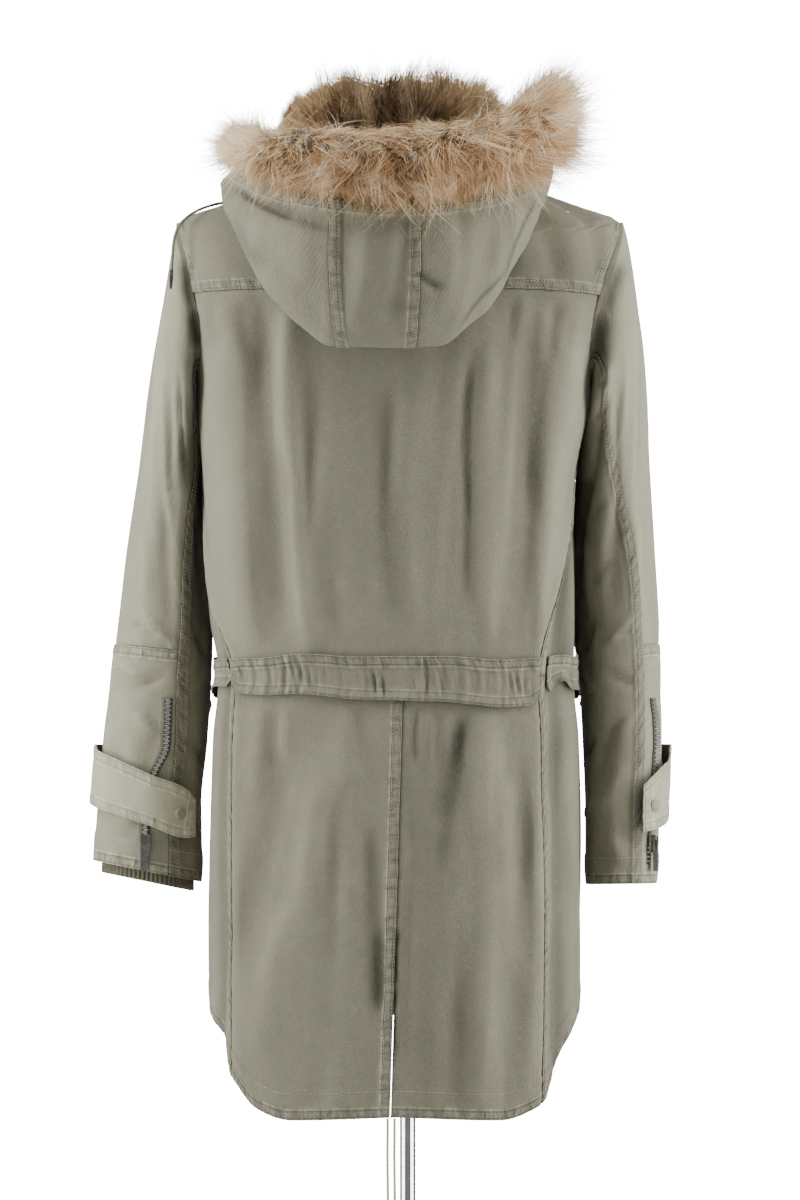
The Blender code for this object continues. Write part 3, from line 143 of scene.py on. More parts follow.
SLEEVE = {
    "left": table(
        SLEEVE_COLUMNS,
        (0.00, -0.2165, 1.356, -0.1975, 1.190, 0.074, 0.000, 126),
        (0.06, -0.2245, 1.322, -0.2008, 1.181, 0.077, 0.001, 126),
        (0.13, -0.2330, 1.275, -0.1995, 1.165, 0.078, 0.004, 134),
        (0.21, -0.2415, 1.228, -0.1970, 1.143, 0.077, 0.013, 138),
        (0.29, -0.2475, 1.187, -0.1950, 1.118, 0.074, 0.024, 136),
        (0.39, -0.2560, 1.120, -0.1930, 1.075, 0.070, 0.034, 120),
        (0.51, -0.2667, 1.045, -0.1898, 1.023, 0.064, 0.042, 112),
        (0.62, -0.2750, 0.977, -0.1850, 0.965, 0.056, 0.046, 108),
        (0.68, -0.2809, 0.940, -0.1862, 0.931, 0.053, 0.047, 108),
        (0.81, -0.2895, 0.860, -0.1905, 0.860, 0.048, 0.048, 112),
        (0.91, -0.2945, 0.800, -0.1965, 0.800, 0.045, 0.048, 113),
        (1.00, -0.2990, 0.742, -0.1965, 0.738, 0.043, 0.047, 113),
    ),
    "right": table(
        SLEEVE_COLUMNS,
        (0.00, 0.2040, 1.356, 0.1760, 1.190, 0.074, 0.000, 126),
        (0.06, 0.2125, 1.322, 0.1750, 1.181, 0.077, 0.001, 116),
        (0.13, 0.2190, 1.275, 0.1708, 1.165, 0.078, 0.005, 104),
        (0.21, 0.2235, 1.235, 0.1650, 1.143, 0.077, 0.018, 98),
        (0.29, 0.2270, 1.187, 0.1612, 1.118, 0.074, 0.028, 90),
        (0.39, 0.2302, 1.122, 0.1578, 1.075, 0.072, 0.038, 74),
        (0.51, 0.2350, 1.045, 0.1568, 1.023, 0.068, 0.044, 60),
        (0.62, 0.2385, 0.977, 0.1580, 0.965, 0.064, 0.046, 56),
        (0.68, 0.2400, 0.940, 0.1622, 0.931, 0.062, 0.046, 55),
        (0.81, 0.2416, 0.862, 0.1668, 0.862, 0.059, 0.046, 57),
        (0.91, 0.2395, 0.800, 0.1690, 0.800, 0.057, 0.045, 58),
        (1.00, 0.2368, 0.736, 0.1700, 0.733, 0.056, 0.044, 58),
    ),
}
ELBOW = 0.655  # where the outer sleeve is cut across
SLEEVE_FOLDS = table(
    "angle_top angle_low v_top v_low width rise",
    (40, 62, 0.10, 0.62, 0.010, 0.0032),
    (75, 92, 0.20, 0.60, 0.012, -0.0034),
    (150, 140, 0.30, 0.72, 0.010, -0.0030),
    (20, 35, 0.66, 0.86, 0.010, 0.0026),
    (-40, -60, 0.15, 0.62, 0.012, 0.0030),
    (-75, -80, 0.25, 0.80, 0.012, -0.0030),
    (-140, -150, 0.35, 0.75, 0.012, 0.0026),
)
STRAP = {
    "left": table(
        "angle low high off",
        (-80, 0.806, 0.858, 0.0007),
        (-40, 0.806, 0.859, 0.0040),
        (0, 0.804, 0.859, 0.0060),
        (45, 0.796, 0.848, 0.0052),
        (90, 0.783, 0.831, 0.0044),
        (128, 0.771, 0.817, 0.0050),
        (138, 0.772, 0.806, 0.0054),
    ),
    "right": table(
        "angle low high off",
        (-80, 0.800, 0.852, 0.0007),
        (-40, 0.800, 0.860, 0.0050),
        (0, 0.793, 0.860, 0.0068),
        (30, 0.784, 0.846, 0.0074),
        (58, 0.778, 0.828, 0.0080),
        (67, 0.777, 0.822, 0.0084),
    ),
}
STRAP_WALL = 0.0022
ZIP_PATH = {
    "left": table("z angle", (0.746, 88.0), (0.800, 86.0), (0.829, 91.0), (0.858, 102.0), (0.904, 100.0)),
    "right": table("z angle", (0.742, 45.0), (0.800, 42.0), (0.840, 40.0), (0.874, 38.0), (0.904, 42.0)),
}
ZIP_WIDTH = 0.0085
SLIDER_Z = 0.7655
HOOD = table(
    "angle roll_r roll_z in_r in_z fold_r fold_z out_r out_z",
    (0, 0.084, 1.450, 0.134, 1.330, 0.162, 1.2355, 0.193, 1.298),
    (18, 0.085, 1.450, 0.136, 1.330, 0.164, 1.2370, 0.194, 1.300),
    (38, 0.088, 1.450, 0.143, 1.348, 0.174, 1.2760, 0.198, 1.325),
    (60, 0.094, 1.446, 0.142, 1.388, 0.177, 1.3560, 0.188, 1.375),
    (78, 0.097, 1.434, 0.133, 1.401, 0.160, 1.3850, 0.173, 1.3925),
    (95, 0.098, 1.422, 0.122, 1.402, 0.144, 1.3915, 0.155, 1.3955),
    (120, 0.096, 1.402, 0.107, 1.390, 0.118, 1.3800, 0.127, 1.379),
    (158, 0.088, 1.364, 0.0945, 1.357, 0.101, 1.3510, 0.106, 1.347),
)
HOOD_SHIFT = -0.012  # the hood lies a little to the left
HOOD_NARROW = 0.08  # and this share narrower than it is deep
RUFF = table(
    "angle r z deep high",
    (-158, 0.112, 1.378, 0.017, 0.019),
    (-120, 0.132, 1.418, 0.020, 0.023),
    (-90, 0.148, 1.433, 0.023, 0.022),
    (-60, 0.167, 1.425, 0.029, 0.025),
    (-30, 0.190, 1.419, 0.034, 0.037),
    (0, 0.194, 1.413, 0.035, 0.042),
    (30, 0.192, 1.423, 0.035, 0.046),
    (60, 0.188, 1.445, 0.036, 0.046),
    (85, 0.172, 1.458, 0.036, 0.046),
    (120, 0.138, 1.436, 0.026, 0.034),
    (158, 0.112, 1.380, 0.018, 0.021),
)
LINING = 0.0085  # the pile of the hood's fur lining
LINING_ROLL = 0.044  # more of it where it stands up along the roll
LINING_GAP = 0.0006
LINING_TOP = 4.85  # and just short of the opening's edge
SHOULDER_CORD = (
    (-0.140, 0.050, 1.3725),
    (-0.156, 0.028, 1.3765),
    (-0.172, 0.006, 1.3752),
    (-0.188, -0.014, 1.3715),
    (-0.201, -0.031, 1.3660),
    (-0.2115, -0.046, 1.3585),
    (-0.2180, -0.058, 1.3500),
    (-0.2215, -0.066, 1.3390),
    (-0.2230, -0.071, 1.3260),
    (-0.2238, -0.0735, 1.3100),
)
HEM_CORDS = {"left": -0.0190, "right": -0.0125}
HEM_CORD_END = 0.352


def smooth(t, key, name, at):
    """A named column as a smooth curve that never overshoots its rows."""
    x, y = t[key], t[name]
    at = np.clip(np.asarray(at, float), x[0], x[-1])
    step = np.diff(x)
    slope = np.diff(y) / step
    turn = np.zeros(len(x))
    same = slope[1:] * slope[:-1] > 0
    before = 2 * step[1:] + step[:-1]
    after = step[1:] + 2 * step[:-1]
    safe = np.where(same, slope[:-1], 1)
    safe_next = np.where(same, slope[1:], 1)
    turn[1:-1] = np.where(same, (before + after) / (before / safe + after / safe_next), 0)
    turn[0] = slope[0]
    turn[-1] = slope[-1]
    i = np.clip(np.searchsorted(x, at, side="right") - 1, 0, len(step) - 1)
    u = (at - x[i]) / step[i]
    return (
        y[i] * (1 + 2 * u) * (1 - u) ** 2
        + step[i] * turn[i] * u * (1 - u) ** 2
        + y[i + 1] * u * u * (3 - 2 * u)
        + step[i] * turn[i + 1] * u * u * (u - 1)
    )


def ease(low, high, at):
    u = np.clip((np.asarray(at, float) - low) / (high - low), 0, 1)
    return u * u * (3 - 2 * u)


def unit(v):
    return v / np.maximum(np.linalg.norm(v, axis=-1, keepdims=True), 1e-12)


def body_base(angle, h):
    """The coat without folds. Angle 0 is the back, 90 the side at +X, 180 the front."""
    t = np.radians(angle)
    s = np.sin(t)
    c = np.cos(t)
    power = smooth(BODY, "h", "square", h)
    r = (np.abs(s) ** power + np.abs(c) ** power) ** (-1 / power)
    half = np.where(s > 0, smooth(BODY, "h", "right", h), smooth(BODY, "h", "left", h))
    depth = np.where(c > 0, smooth(BODY, "h", "back", h), smooth(BODY, "h", "front", h))
    side_z = smooth(BODY, "h", "side_z", h)
    far_z = np.where(c > 0, smooth(BODY, "h", "back_z", h), smooth(BODY, "h", "front_z", h))
    return np.stack([CX + half * r * s, -depth * r * c, side_z + (far_z - side_z) * c * c], axis=-1)


def normals(surface, a, b, step_a, step_b):
    across = surface(a + step_a, b) - surface(a - step_a, b)
    up = surface(a, b + step_b) - surface(a, b - step_b)
    return unit(np.cross(across, up))


def fold_height(angle, h):
    """How far the folds stand out."""
    p = body_base(angle, h)
    x = p[..., 0]
    face = np.where(np.cos(np.radians(angle)) > 0, -1, 1)
    total = np.zeros(np.shape(x))
    for i in range(len(FOLDS["face"])):
        f = {k: v[i] for k, v in FOLDS.items()}
        u = (h - f["z_low"]) / (f["z_top"] - f["z_low"])
        centre = f["x_low"] + (f["x_top"] - f["x_low"]) * u
        soft = ease(-0.12, 0.15, u) * (1 - ease(0.85, 1.12, u))
        total = total + f["rise"] * soft * np.exp(-(((x - centre) / f["width"]) ** 2)) * (face == f["face"])
    for sign, name in ((-1, "left"), (1, "right")):
        seam = smooth(SIDE_SEAM, "h", name, h)
        past = (sign * angle - seam) * 0.0030
        soft = 1 - ease(1.02, 1.14, h)
        total = total + soft * 0.0035 * np.exp(-((past / 0.012) ** 2))
        total = total - soft * 0.0060 * np.exp(-(((past - 0.030) / 0.014) ** 2))
    return total


def body(angle, h, out=0.0):
    """The coat's outer surface, moved out by a distance."""
    base = body_base(angle, h)
    away = normals(body_base, np.asarray(angle, float), np.asarray(h, float), 0.4, 0.0008)
    return base + away * (fold_height(angle, h) + out)[..., None]


def arm_height(step):
    return ARM_MID + ARM_HALF * math.cos(math.pi * step / ARM_STEPS)


def arm_reach(h):
    """How far the armhole is cut away beside the side line, in degrees."""
    u = np.clip((np.asarray(h, float) - ARM_MID) / ARM_HALF, -1, 1)
    return ARM_ANGLE * np.sqrt(1 - u * u)


def side_limit(h, sign):
    """The back panels' outer edge: the armhole, and the side seam below it."""
    name = "left" if sign < 0 else "right"
    seam = smooth(SIDE_SEAM, "h", name, h)
    return np.where(h >= UNDERARM_H - 1e-9, 90 - arm_reach(h), seam)


GAP_ANGLE = 0.06  # half a seam's gap, in degrees at the body's radius
HALF_GAP = GAP / 2
YOKE_STEP = 4  # the yoke seam meets the armhole at this step
YOKE_H = arm_height(YOKE_STEP)
FRONT_EDGE = 178.5


def spread_angles(left, right, count):
    u = np.linspace(0, 1, count)
    return left[:, None] * (1 - u) + right[:, None] * u


def hem_z(angle):
    return smooth(HEM, "angle", "z", np.abs(angle))


def centre_seam(h):
    """The centre back seam leans a little to the left on its way down."""
    return 2.0 - 4.2 * (WAIST_H - h) / (WAIST_H - HEM_LOW)


def vent_half(h):
    """Half the vent's opening, in degrees."""
    return GAP_ANGLE + 0.34 * ease(0, 0.02, VENT_TOP - h)


PLACKET_TOP = 1.395


def sleeve_point(side, angle, v):
    """The sleeve's outer surface: angle 0 is its outer line, 90 its back, 180 its inner line."""
    t = SLEEVE[side]
    a = np.radians(angle)
    outer = np.stack([smooth(t, "v", "out_x", v), smooth(t, "v", "out_z", v)], axis=-1)
    inner = np.stack([smooth(t, "v", "in_x", v), smooth(t, "v", "in_z", v)], axis=-1)
    middle = (outer + inner) / 2
    half = (outer - inner) / 2
    deep = smooth(t, "v", "deep", v)
    power = 2.25
    c, s = np.cos(a), np.sin(a)
    r = (np.abs(s) ** power + np.abs(c) ** power) ** (-1 / power)
    xz = middle + half * (r * c)[..., None]
    y = smooth(t, "v", "mid_y", v) - deep * r * s
    ring = np.stack([xz[..., 0], y, xz[..., 1]], axis=-1)
    sign = -1 if side == "left" else 1
    at, h = armhole_at(sign, a)
    start = body(at, h) + np.array([0.0, 0.0, GAP * 1.5]) * (c < 0)[..., None]
    start = start + np.array([sign, 0.0, 0.0]) * (GAP * 1.2 + LEAVE * ease(0, LEAVE_V, v))[..., None]
    share = ease(LEAVE_V, 0.12, v)[..., None]
    return start * (1 - share) + ring * share


def sleeve_folds(angle, v):
    total = np.zeros(np.shape(angle))
    for i in range(len(SLEEVE_FOLDS["rise"])):
        f = {k: c[i] for k, c in SLEEVE_FOLDS.items()}
        u = (v - f["v_top"]) / (f["v_low"] - f["v_top"])
        centre = f["angle_top"] + (f["angle_low"] - f["angle_top"]) * u
        away = (np.mod(angle - centre + 180, 360) - 180) * 0.0011
        soft = ease(-0.1, 0.15, u) * (1 - ease(0.85, 1.1, u))
        total = total + f["rise"] * soft * np.exp(-((away / f["width"]) ** 2))
    return total


def sleeve(side, angle, v, out=0.0):
    """The sleeve with its folds, moved out by a distance."""
    angle = np.asarray(angle, float)
    v = np.asarray(v, float)

    def plain(a, w):
        return sleeve_point(side, a, np.clip(w, 0, 1))

    step = 0.003
    w = np.clip(v, step, 1 - step)
    away = normals(plain, angle, w, 1.0, step)
    turned_in = -1 if side == "right" else 1
    return plain(angle, v) - away * (turned_in * (sleeve_folds(angle, v) + out))[..., None]


def sleeve_middle(side, v):
    t = SLEEVE[side]
    x = (smooth(t, "v", "out_x", v) + smooth(t, "v", "in_x", v)) / 2
    z = (smooth(t, "v", "out_z", v) + smooth(t, "v", "in_z", v)) / 2
    return np.stack([x, smooth(t, "v", "mid_y", v), z], axis=-1)


def armhole_at(sign, a):
    """The armhole's edge on the body, at an angle round the sleeve in radians."""
    h = ARM_MID + ARM_HALF * np.cos(a)
    return sign * (90 - ARM_ANGLE * np.sin(a)), h


LEAVE = 0.0042  # the sleeve first leaves the armhole sideways by this much
LEAVE_V = 0.02
SEAM_ANGLE = 0.2


def seam_back(side, v):
    return smooth(SLEEVE[side], "v", "seam", v)


def seam_front(v):
    return 26.0 * ease(0, 0.4, v) - 126.0


def v_at(side, angle, z):
    """The sleeve's row at a height, below the elbow."""
    v = np.full(np.shape(z), 0.85)
    for _ in range(12):
        here = sleeve_point(side, angle, v)[..., 2]
        v = np.clip(v + (here - z) / 0.62, 0.6, 1.0)
    return v


HOOD_STATIONS = ("roll", "in", "fold", "out")
HOOD_EDGE = 5.0  # the opening's edge, counted in stations from the neck seam


def hood_rows(angle):
    """Radius and height of each station of the hood, from the neck seam to the opening."""
    neck = body_base(angle, np.full(angle.shape, NECK_H))
    radius = [np.hypot(neck[..., 0] - CX, neck[..., 1])]
    height = [neck[..., 2] + GAP]
    for name in HOOD_STATIONS:
        radius.append(smooth(HOOD, "angle", name + "_r", np.abs(angle)))
        height.append(smooth(HOOD, "angle", name + "_z", np.abs(angle)))
    radius.append(smooth(RUFF, "angle", "r", angle))
    height.append(smooth(RUFF, "angle", "z", angle) - smooth(RUFF, "angle", "high", angle) - 2 * GAP)
    return np.array(radius), np.array(height)


def through(p0, p1, p2, p3, u):
    return p1 + 0.5 * u * (p2 - p0 + u * (2 * p0 - 5 * p1 + 4 * p2 - p3 + u * (3 * (p1 - p2) + p3 - p0)))


def hood(angle, s):
    """The hood's outer cloth surface; s runs from 0 at the neck seam to the opening."""
    angle, s = np.broadcast_arrays(np.asarray(angle, float), np.asarray(s, float))
    radius, height = hood_rows(angle)
    last = len(radius) - 1
    i = np.clip(np.floor(s).astype(int), 0, last - 1)
    u = np.clip(s, 0, last) - i

    def near(values, k):
        return np.take_along_axis(values, np.clip(i + k, 0, last)[None], 0)[0]

    r = through(near(radius, -1), near(radius, 0), near(radius, 1), near(radius, 2), u)
    z = through(near(height, -1), near(height, 0), near(height, 1), near(height, 2), u)
    t = np.radians(angle)
    lies = ease(1, 2.5, s)
    x = CX + HOOD_SHIFT * lies + r * np.sin(t) * (1 - HOOD_NARROW * lies)
    return np.stack([x, -r * np.cos(t), z], axis=-1)


def hood_away(angle, s):
    """Out of the cloth, on the side that faces the coat's back and then the camera."""
    e = 0.02
    across = hood(angle + 0.5, s) - hood(angle - 0.5, s)
    along = hood(angle, np.clip(s + e, 0, HOOD_EDGE)) - hood(angle, np.clip(s - e, 0, HOOD_EDGE))
    return unit(np.cross(across, along))


def hem_cord_route(x):
    y = -0.1271
    top = HEM_LOW - 0.0006
    return (
        (x, y, top), (x, y, 0.492), (x - 0.0002, y - 0.0003, 0.472), (x, y - 0.0004, 0.452),
        (x + 0.0003, y - 0.0002, 0.430), (x + 0.0005, y, 0.406), (x + 0.0002, y + 0.0003, 0.384),
        (x, y + 0.0003, 0.364), (x, y, HEM_CORD_END),
    )

# Camera frame
CAMERA = (-0.0073, -30.0, 0.997)  # so far away that the picture has almost no perspective
LENS = 947.0
SENSOR = 36.0
PICTURE = (800, 1200)
FOCUS = LENS / SENSOR * PICTURE[1]
SIDES = ((-1, "left"), (1, "right"))


def project(p):
    """Where a point lands in the picture, in pixels."""
    scale = FOCUS / (p[..., 1] - CAMERA[1])
    return PICTURE[0] / 2 + scale * (p[..., 0] - CAMERA[0]), PICTURE[1] / 2 - scale * (p[..., 2] - CAMERA[2])


def piece_mesh(name, points, faces, look, slot, uv=None, attributes=None, smooth=True):
    """A mesh object that rides on the root; uv and attributes are given for each point."""
    mesh = bpy.data.meshes.new(name)
    loops = np.concatenate([f.ravel() for f in faces])
    sizes = np.concatenate([np.full(len(f), f.shape[1]) for f in faces])
    mesh.vertices.add(len(points))
    mesh.vertices.foreach_set("co", np.ascontiguousarray(points, np.float32).ravel())
    mesh.loops.add(len(loops))
    mesh.loops.foreach_set("vertex_index", loops.astype(np.int32))
    mesh.polygons.add(len(sizes))
    starts = np.concatenate([[0], np.cumsum(sizes)[:-1]]).astype(np.int32)
    mesh.polygons.foreach_set("loop_start", starts)
    mesh.update(calc_edges=True)
    mesh.validate()
    if uv is not None:
        layer = mesh.uv_layers.new(name="cloth")
        index = np.empty(len(mesh.loops), np.int32)
        mesh.loops.foreach_get("vertex_index", index)
        layer.data.foreach_set("uv", np.ascontiguousarray(uv[index], np.float32).ravel())
    for key, values in (attributes or {}).items():
        made = mesh.attributes.new(key, "FLOAT_VECTOR", "POINT")
        made.data.foreach_set("vector", np.ascontiguousarray(values, np.float32).ravel())
    mesh.polygons.foreach_set("use_smooth", np.full(len(mesh.polygons), smooth))
    mesh.materials.append(look)
    made = bpy.data.objects.new(name, mesh)
    bpy.context.scene.collection.objects.link(made)
    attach(made, "root")
    return made


def cells(rows, columns, start=0, wrap=False, flip=False):
    """Four-sided faces of a grid of points."""
    i, j = np.meshgrid(np.arange(rows - 1), np.arange(columns if wrap else columns - 1), indexing="ij")
    a = start + i * columns + j
    b = start + i * columns + (j + 1) % columns
    quads = np.stack([a, b, b + columns, a + columns], axis=-1).reshape(-1, 4)
    return quads[:, ::-1] if flip else quads


def rim(rows, columns, wrap=False):
    """Faces that join the outer grid to the inner one round its edge."""
    count = rows * columns
    j = np.arange(columns if wrap else columns - 1)
    k = (j + 1) % columns
    last = (rows - 1) * columns
    faces = [np.stack([k, j, count + j, count + k], -1)]
    faces.append(np.stack([last + j, last + k, count + last + k, count + last + j], -1))
    if not wrap:
        a = np.arange(rows - 1) * columns
        c = a + columns - 1
        faces.append(np.stack([a, a + columns, count + a + columns, count + a], -1))
        faces.append(np.stack([c + columns, c, count + c, count + c + columns], -1))
    return np.concatenate(faces)


def wall(outer, inner, wrap=False):
    """Points and faces of a closed wall between two grids."""
    rows, columns = outer.shape[:2]
    faces = [cells(rows, columns, 0, wrap), cells(rows, columns, rows * columns, wrap, True)]
    return np.concatenate([outer.reshape(-1, 3), inner.reshape(-1, 3)]), faces + [rim(rows, columns, wrap)]


def arcs(points, axis):
    """Length along a grid's rows or columns, from its first point."""
    step = np.linalg.norm(np.diff(points, axis=axis), axis=-1)
    start = np.zeros_like(np.take(step, [0], axis=axis))
    return np.concatenate([start, np.cumsum(step, axis=axis)], axis=axis)


def run_of(path):
    """Length along a path, from its first point."""
    return np.concatenate([[0], np.cumsum(np.linalg.norm(np.diff(path, axis=0), axis=1))])


def at_run(run, path, at):
    """Points of a path at the given lengths along it."""
    return np.stack([np.interp(at, run, path[:, k]) for k in range(3)], -1)


SEAM_STEPS = (0.0012, 0.0030, 0.0055, 0.0080, 0.0096, 0.0115, 0.0150)


def spaced(length, step, first=True, last=True):
    """Places from 0 to 1, fine beside the seamed ends and even between them."""
    places = [0.0, length]
    low = high = 0.0
    if first:
        places += list(SEAM_STEPS)
        low = SEAM_STEPS[-1]
    if last:
        places += [length - s for s in SEAM_STEPS]
        high = SEAM_STEPS[-1]
    count = max(2, int(round((length - low - high) / step)) + 1)
    places += list(np.linspace(low, length - high, count))
    places = np.unique(np.round(places, 6))
    keep = np.concatenate([[True], np.diff(places) > 4e-4])
    return places[keep] / length


def uneven(x, seed, scale=1.0):
    """A smooth uneven wave from -1 to 1 along x, in metres times scale."""
    rng = np.random.default_rng(seed)
    total = np.zeros_like(x)
    for _ in range(5):
        wave = rng.uniform(0.6, 1.7)
        total = total + rng.uniform(0.4, 1.0) * np.sin(x * scale * wave + rng.uniform(0, 6.28))
    return total / 2.4

# Looks
OLIVE = (0.214, 0.206, 0.151)
# The first tone is the worn seam edge. The second is a paler tone, also used as painted highlight on fold
# ridges and pucker tops. The third is painted shade in fold valleys and puckers, and the dark of stitch
# lines. The last is painted deep shade.
WORN, PALE, DEEP, PAINTED_SHADE = 1.95, 1.42, 0.42, 0.10  # tones of the cotton, times its own colour
STITCH_LINES = (0.0016, 0.0082)  # distances from a seam
FELL_BAND = 0.0100
SEAM_RELIEF = 0.0032


def times(colour, k):
    return tuple(min(1.0, c * k) for c in colour)


class Nodes:
    """A material's node tree with short calls."""

    def __init__(self, name):
        self.material = bpy.data.materials.new(name)
        self.material.use_nodes = True
        self.tree = self.material.node_tree
        self.shader = self.tree.nodes["Principled BSDF"]

    def new(self, kind, **values):
        made = self.tree.nodes.new("ShaderNode" + kind)
        for key, value in values.items():
            if hasattr(made, key):
                setattr(made, key, value)
            else:
                self.put(made.inputs[key.replace("_", " ")], value)
        return made

    def put(self, socket, value):
        if isinstance(value, bpy.types.NodeSocket):
            self.tree.links.new(value, socket)
        elif isinstance(value, tuple) and len(value) == 3 and len(socket.default_value) == 4:
            socket.default_value = (*value, 1)
        else:
            socket.default_value = value

    def math(self, operation, *values):
        made = self.tree.nodes.new("ShaderNodeMath")
        made.operation = operation
        for socket, value in zip(made.inputs, values):
            self.put(socket, value)
        return made.outputs[0]

    def sum(self, *terms):
        """The weighted sum of values."""
        parts = [self.math("MULTIPLY", value, weight) for value, weight in terms]
        total = parts[0]
        for part in parts[1:]:
            total = self.math("ADD", total, part)
        return total

    def mix(self, factor, a, b):
        made = self.tree.nodes.new("ShaderNodeMix")
        made.data_type = "RGBA"
        self.put(made.inputs["Factor"], factor)
        self.put(made.inputs[6], a)
        self.put(made.inputs[7], b)
        return made.outputs[2]

    def span(self, value, low, high, to_low=0.0, to_high=1.0, smooth=False):
        made = self.tree.nodes.new("ShaderNodeMapRange")
        made.interpolation_type = "SMOOTHSTEP" if smooth else "LINEAR"
        for socket, given in zip(made.inputs, (value, low, high, to_low, to_high)):
            self.put(socket, given)
        return made.outputs[0]

    def line(self, far, place, wide):
        """1 on a line at a distance, and 0 a little beside it."""
        beside = self.math("ABSOLUTE", self.math("SUBTRACT", far, place))
        return self.span(beside, 0.0, wide, 1.0, 0.0, True)

    def noise(self, scale, detail=3.0, vector=None, roughness=0.5):
        made = self.new("TexNoise", Scale=scale, Detail=detail, Roughness=roughness)
        if vector is None:
            vector = self.new("TexCoord").outputs["Object"]
        self.put(made.inputs["Vector"], vector)
        return made.outputs["Fac"]

    def stretched(self, vector, scale=(1.0, 1.0, 1.0), turn=0.0):
        made = self.new("Mapping", vector_type="POINT")
        self.put(made.inputs["Vector"], vector)
        made.inputs["Scale"].default_value = scale
        made.inputs["Rotation"].default_value = (0, 0, math.radians(turn))
        return made.outputs[0]

    def bump(self, height, distance, normal=None, strength=1.0):
        made = self.new("Bump", Height=height, Distance=distance, Strength=strength)
        if normal is not None:
            self.put(made.inputs["Normal"], normal)
        return made.outputs["Normal"]

    def attribute(self, name):
        made = self.new("Attribute", attribute_name=name)
        parts = self.new("SeparateXYZ", Vector=made.outputs["Vector"])
        return parts.outputs[0], parts.outputs[1], parts.outputs[2]

    def set(self, **values):
        for key, value in values.items():
            self.put(self.shader.inputs[key.replace("_", " ")], value)


def seam_marks(n, name, seed):
    """Nearness, puckers, worn edge, stitch lines and height beside a seam."""
    far, run, kind = n.attribute(name)
    near = n.math("MULTIPLY", n.span(far, 0.006, 0.0150, 1.0, 0.0, True), kind)
    place = n.new("CombineXYZ", X=run, Y=n.math("MULTIPLY", far, 0.35), Z=seed)
    pucker = n.noise(150.0, 2.0, place.outputs[0], 0.6)
    lines = n.math("MAXIMUM", *(n.line(far, spot, 0.0011) for spot in STITCH_LINES))
    lines = n.math("MULTIPLY", lines, kind)
    edge = n.math("MAXIMUM", n.line(far, FELL_BAND, 0.0016), n.span(far, 0.0, 0.0014, 1.0, 0.0, True))
    height = n.math("SUBTRACT", n.math("MULTIPLY", pucker, near), n.math("MULTIPLY", lines, 0.25))
    return near, pucker, n.math("MULTIPLY", edge, kind), lines, height


def seam_wear_and_painted_light(n, colour, base, attribute, seed):
    """The colour with puckers painted dark and pale as their shade and highlight, stitch lines and a worn
    edge; and the seam's height.
    """
    near, pucker, edge, lines, height = seam_marks(n, attribute, seed)
    # Painted shade and highlight: the puckers' hollows are darkened and their tops paled.
    for low, high, tone in ((0.50, 0.34, DEEP), (0.50, 0.66, PALE)):
        share = n.math("MULTIPLY", near, n.span(pucker, low, high, 0.0, 0.50))
        colour = n.mix(share, colour, times(base, tone))
    colour = n.mix(n.math("MULTIPLY", lines, 0.35), colour, times(base, DEEP))
    worn = n.math("MULTIPLY", edge, n.span(pucker, 0.36, 0.60, 0.25, 1.0))
    return n.mix(n.math("MULTIPLY", worn, 0.62), colour, times(base, WORN)), height


def twill(n, uv, threads):
    """The small relief of the weave."""
    weave = n.new("TexWave", wave_type="BANDS", bands_direction="X", Scale=190.0, Distortion=1.2, Detail=2.0)
    n.put(weave.inputs["Vector"], n.stretched(uv, turn=58))
    n.put(weave.inputs["Detail Scale"], 6.0)
    normal = n.bump(weave.outputs["Fac"], 0.00022, strength=0.5)
    normal = n.bump(threads, 0.0006, normal, 0.6)
    return n.bump(n.noise(85.0, 3.0, roughness=0.6), 0.0013, normal, 0.5)


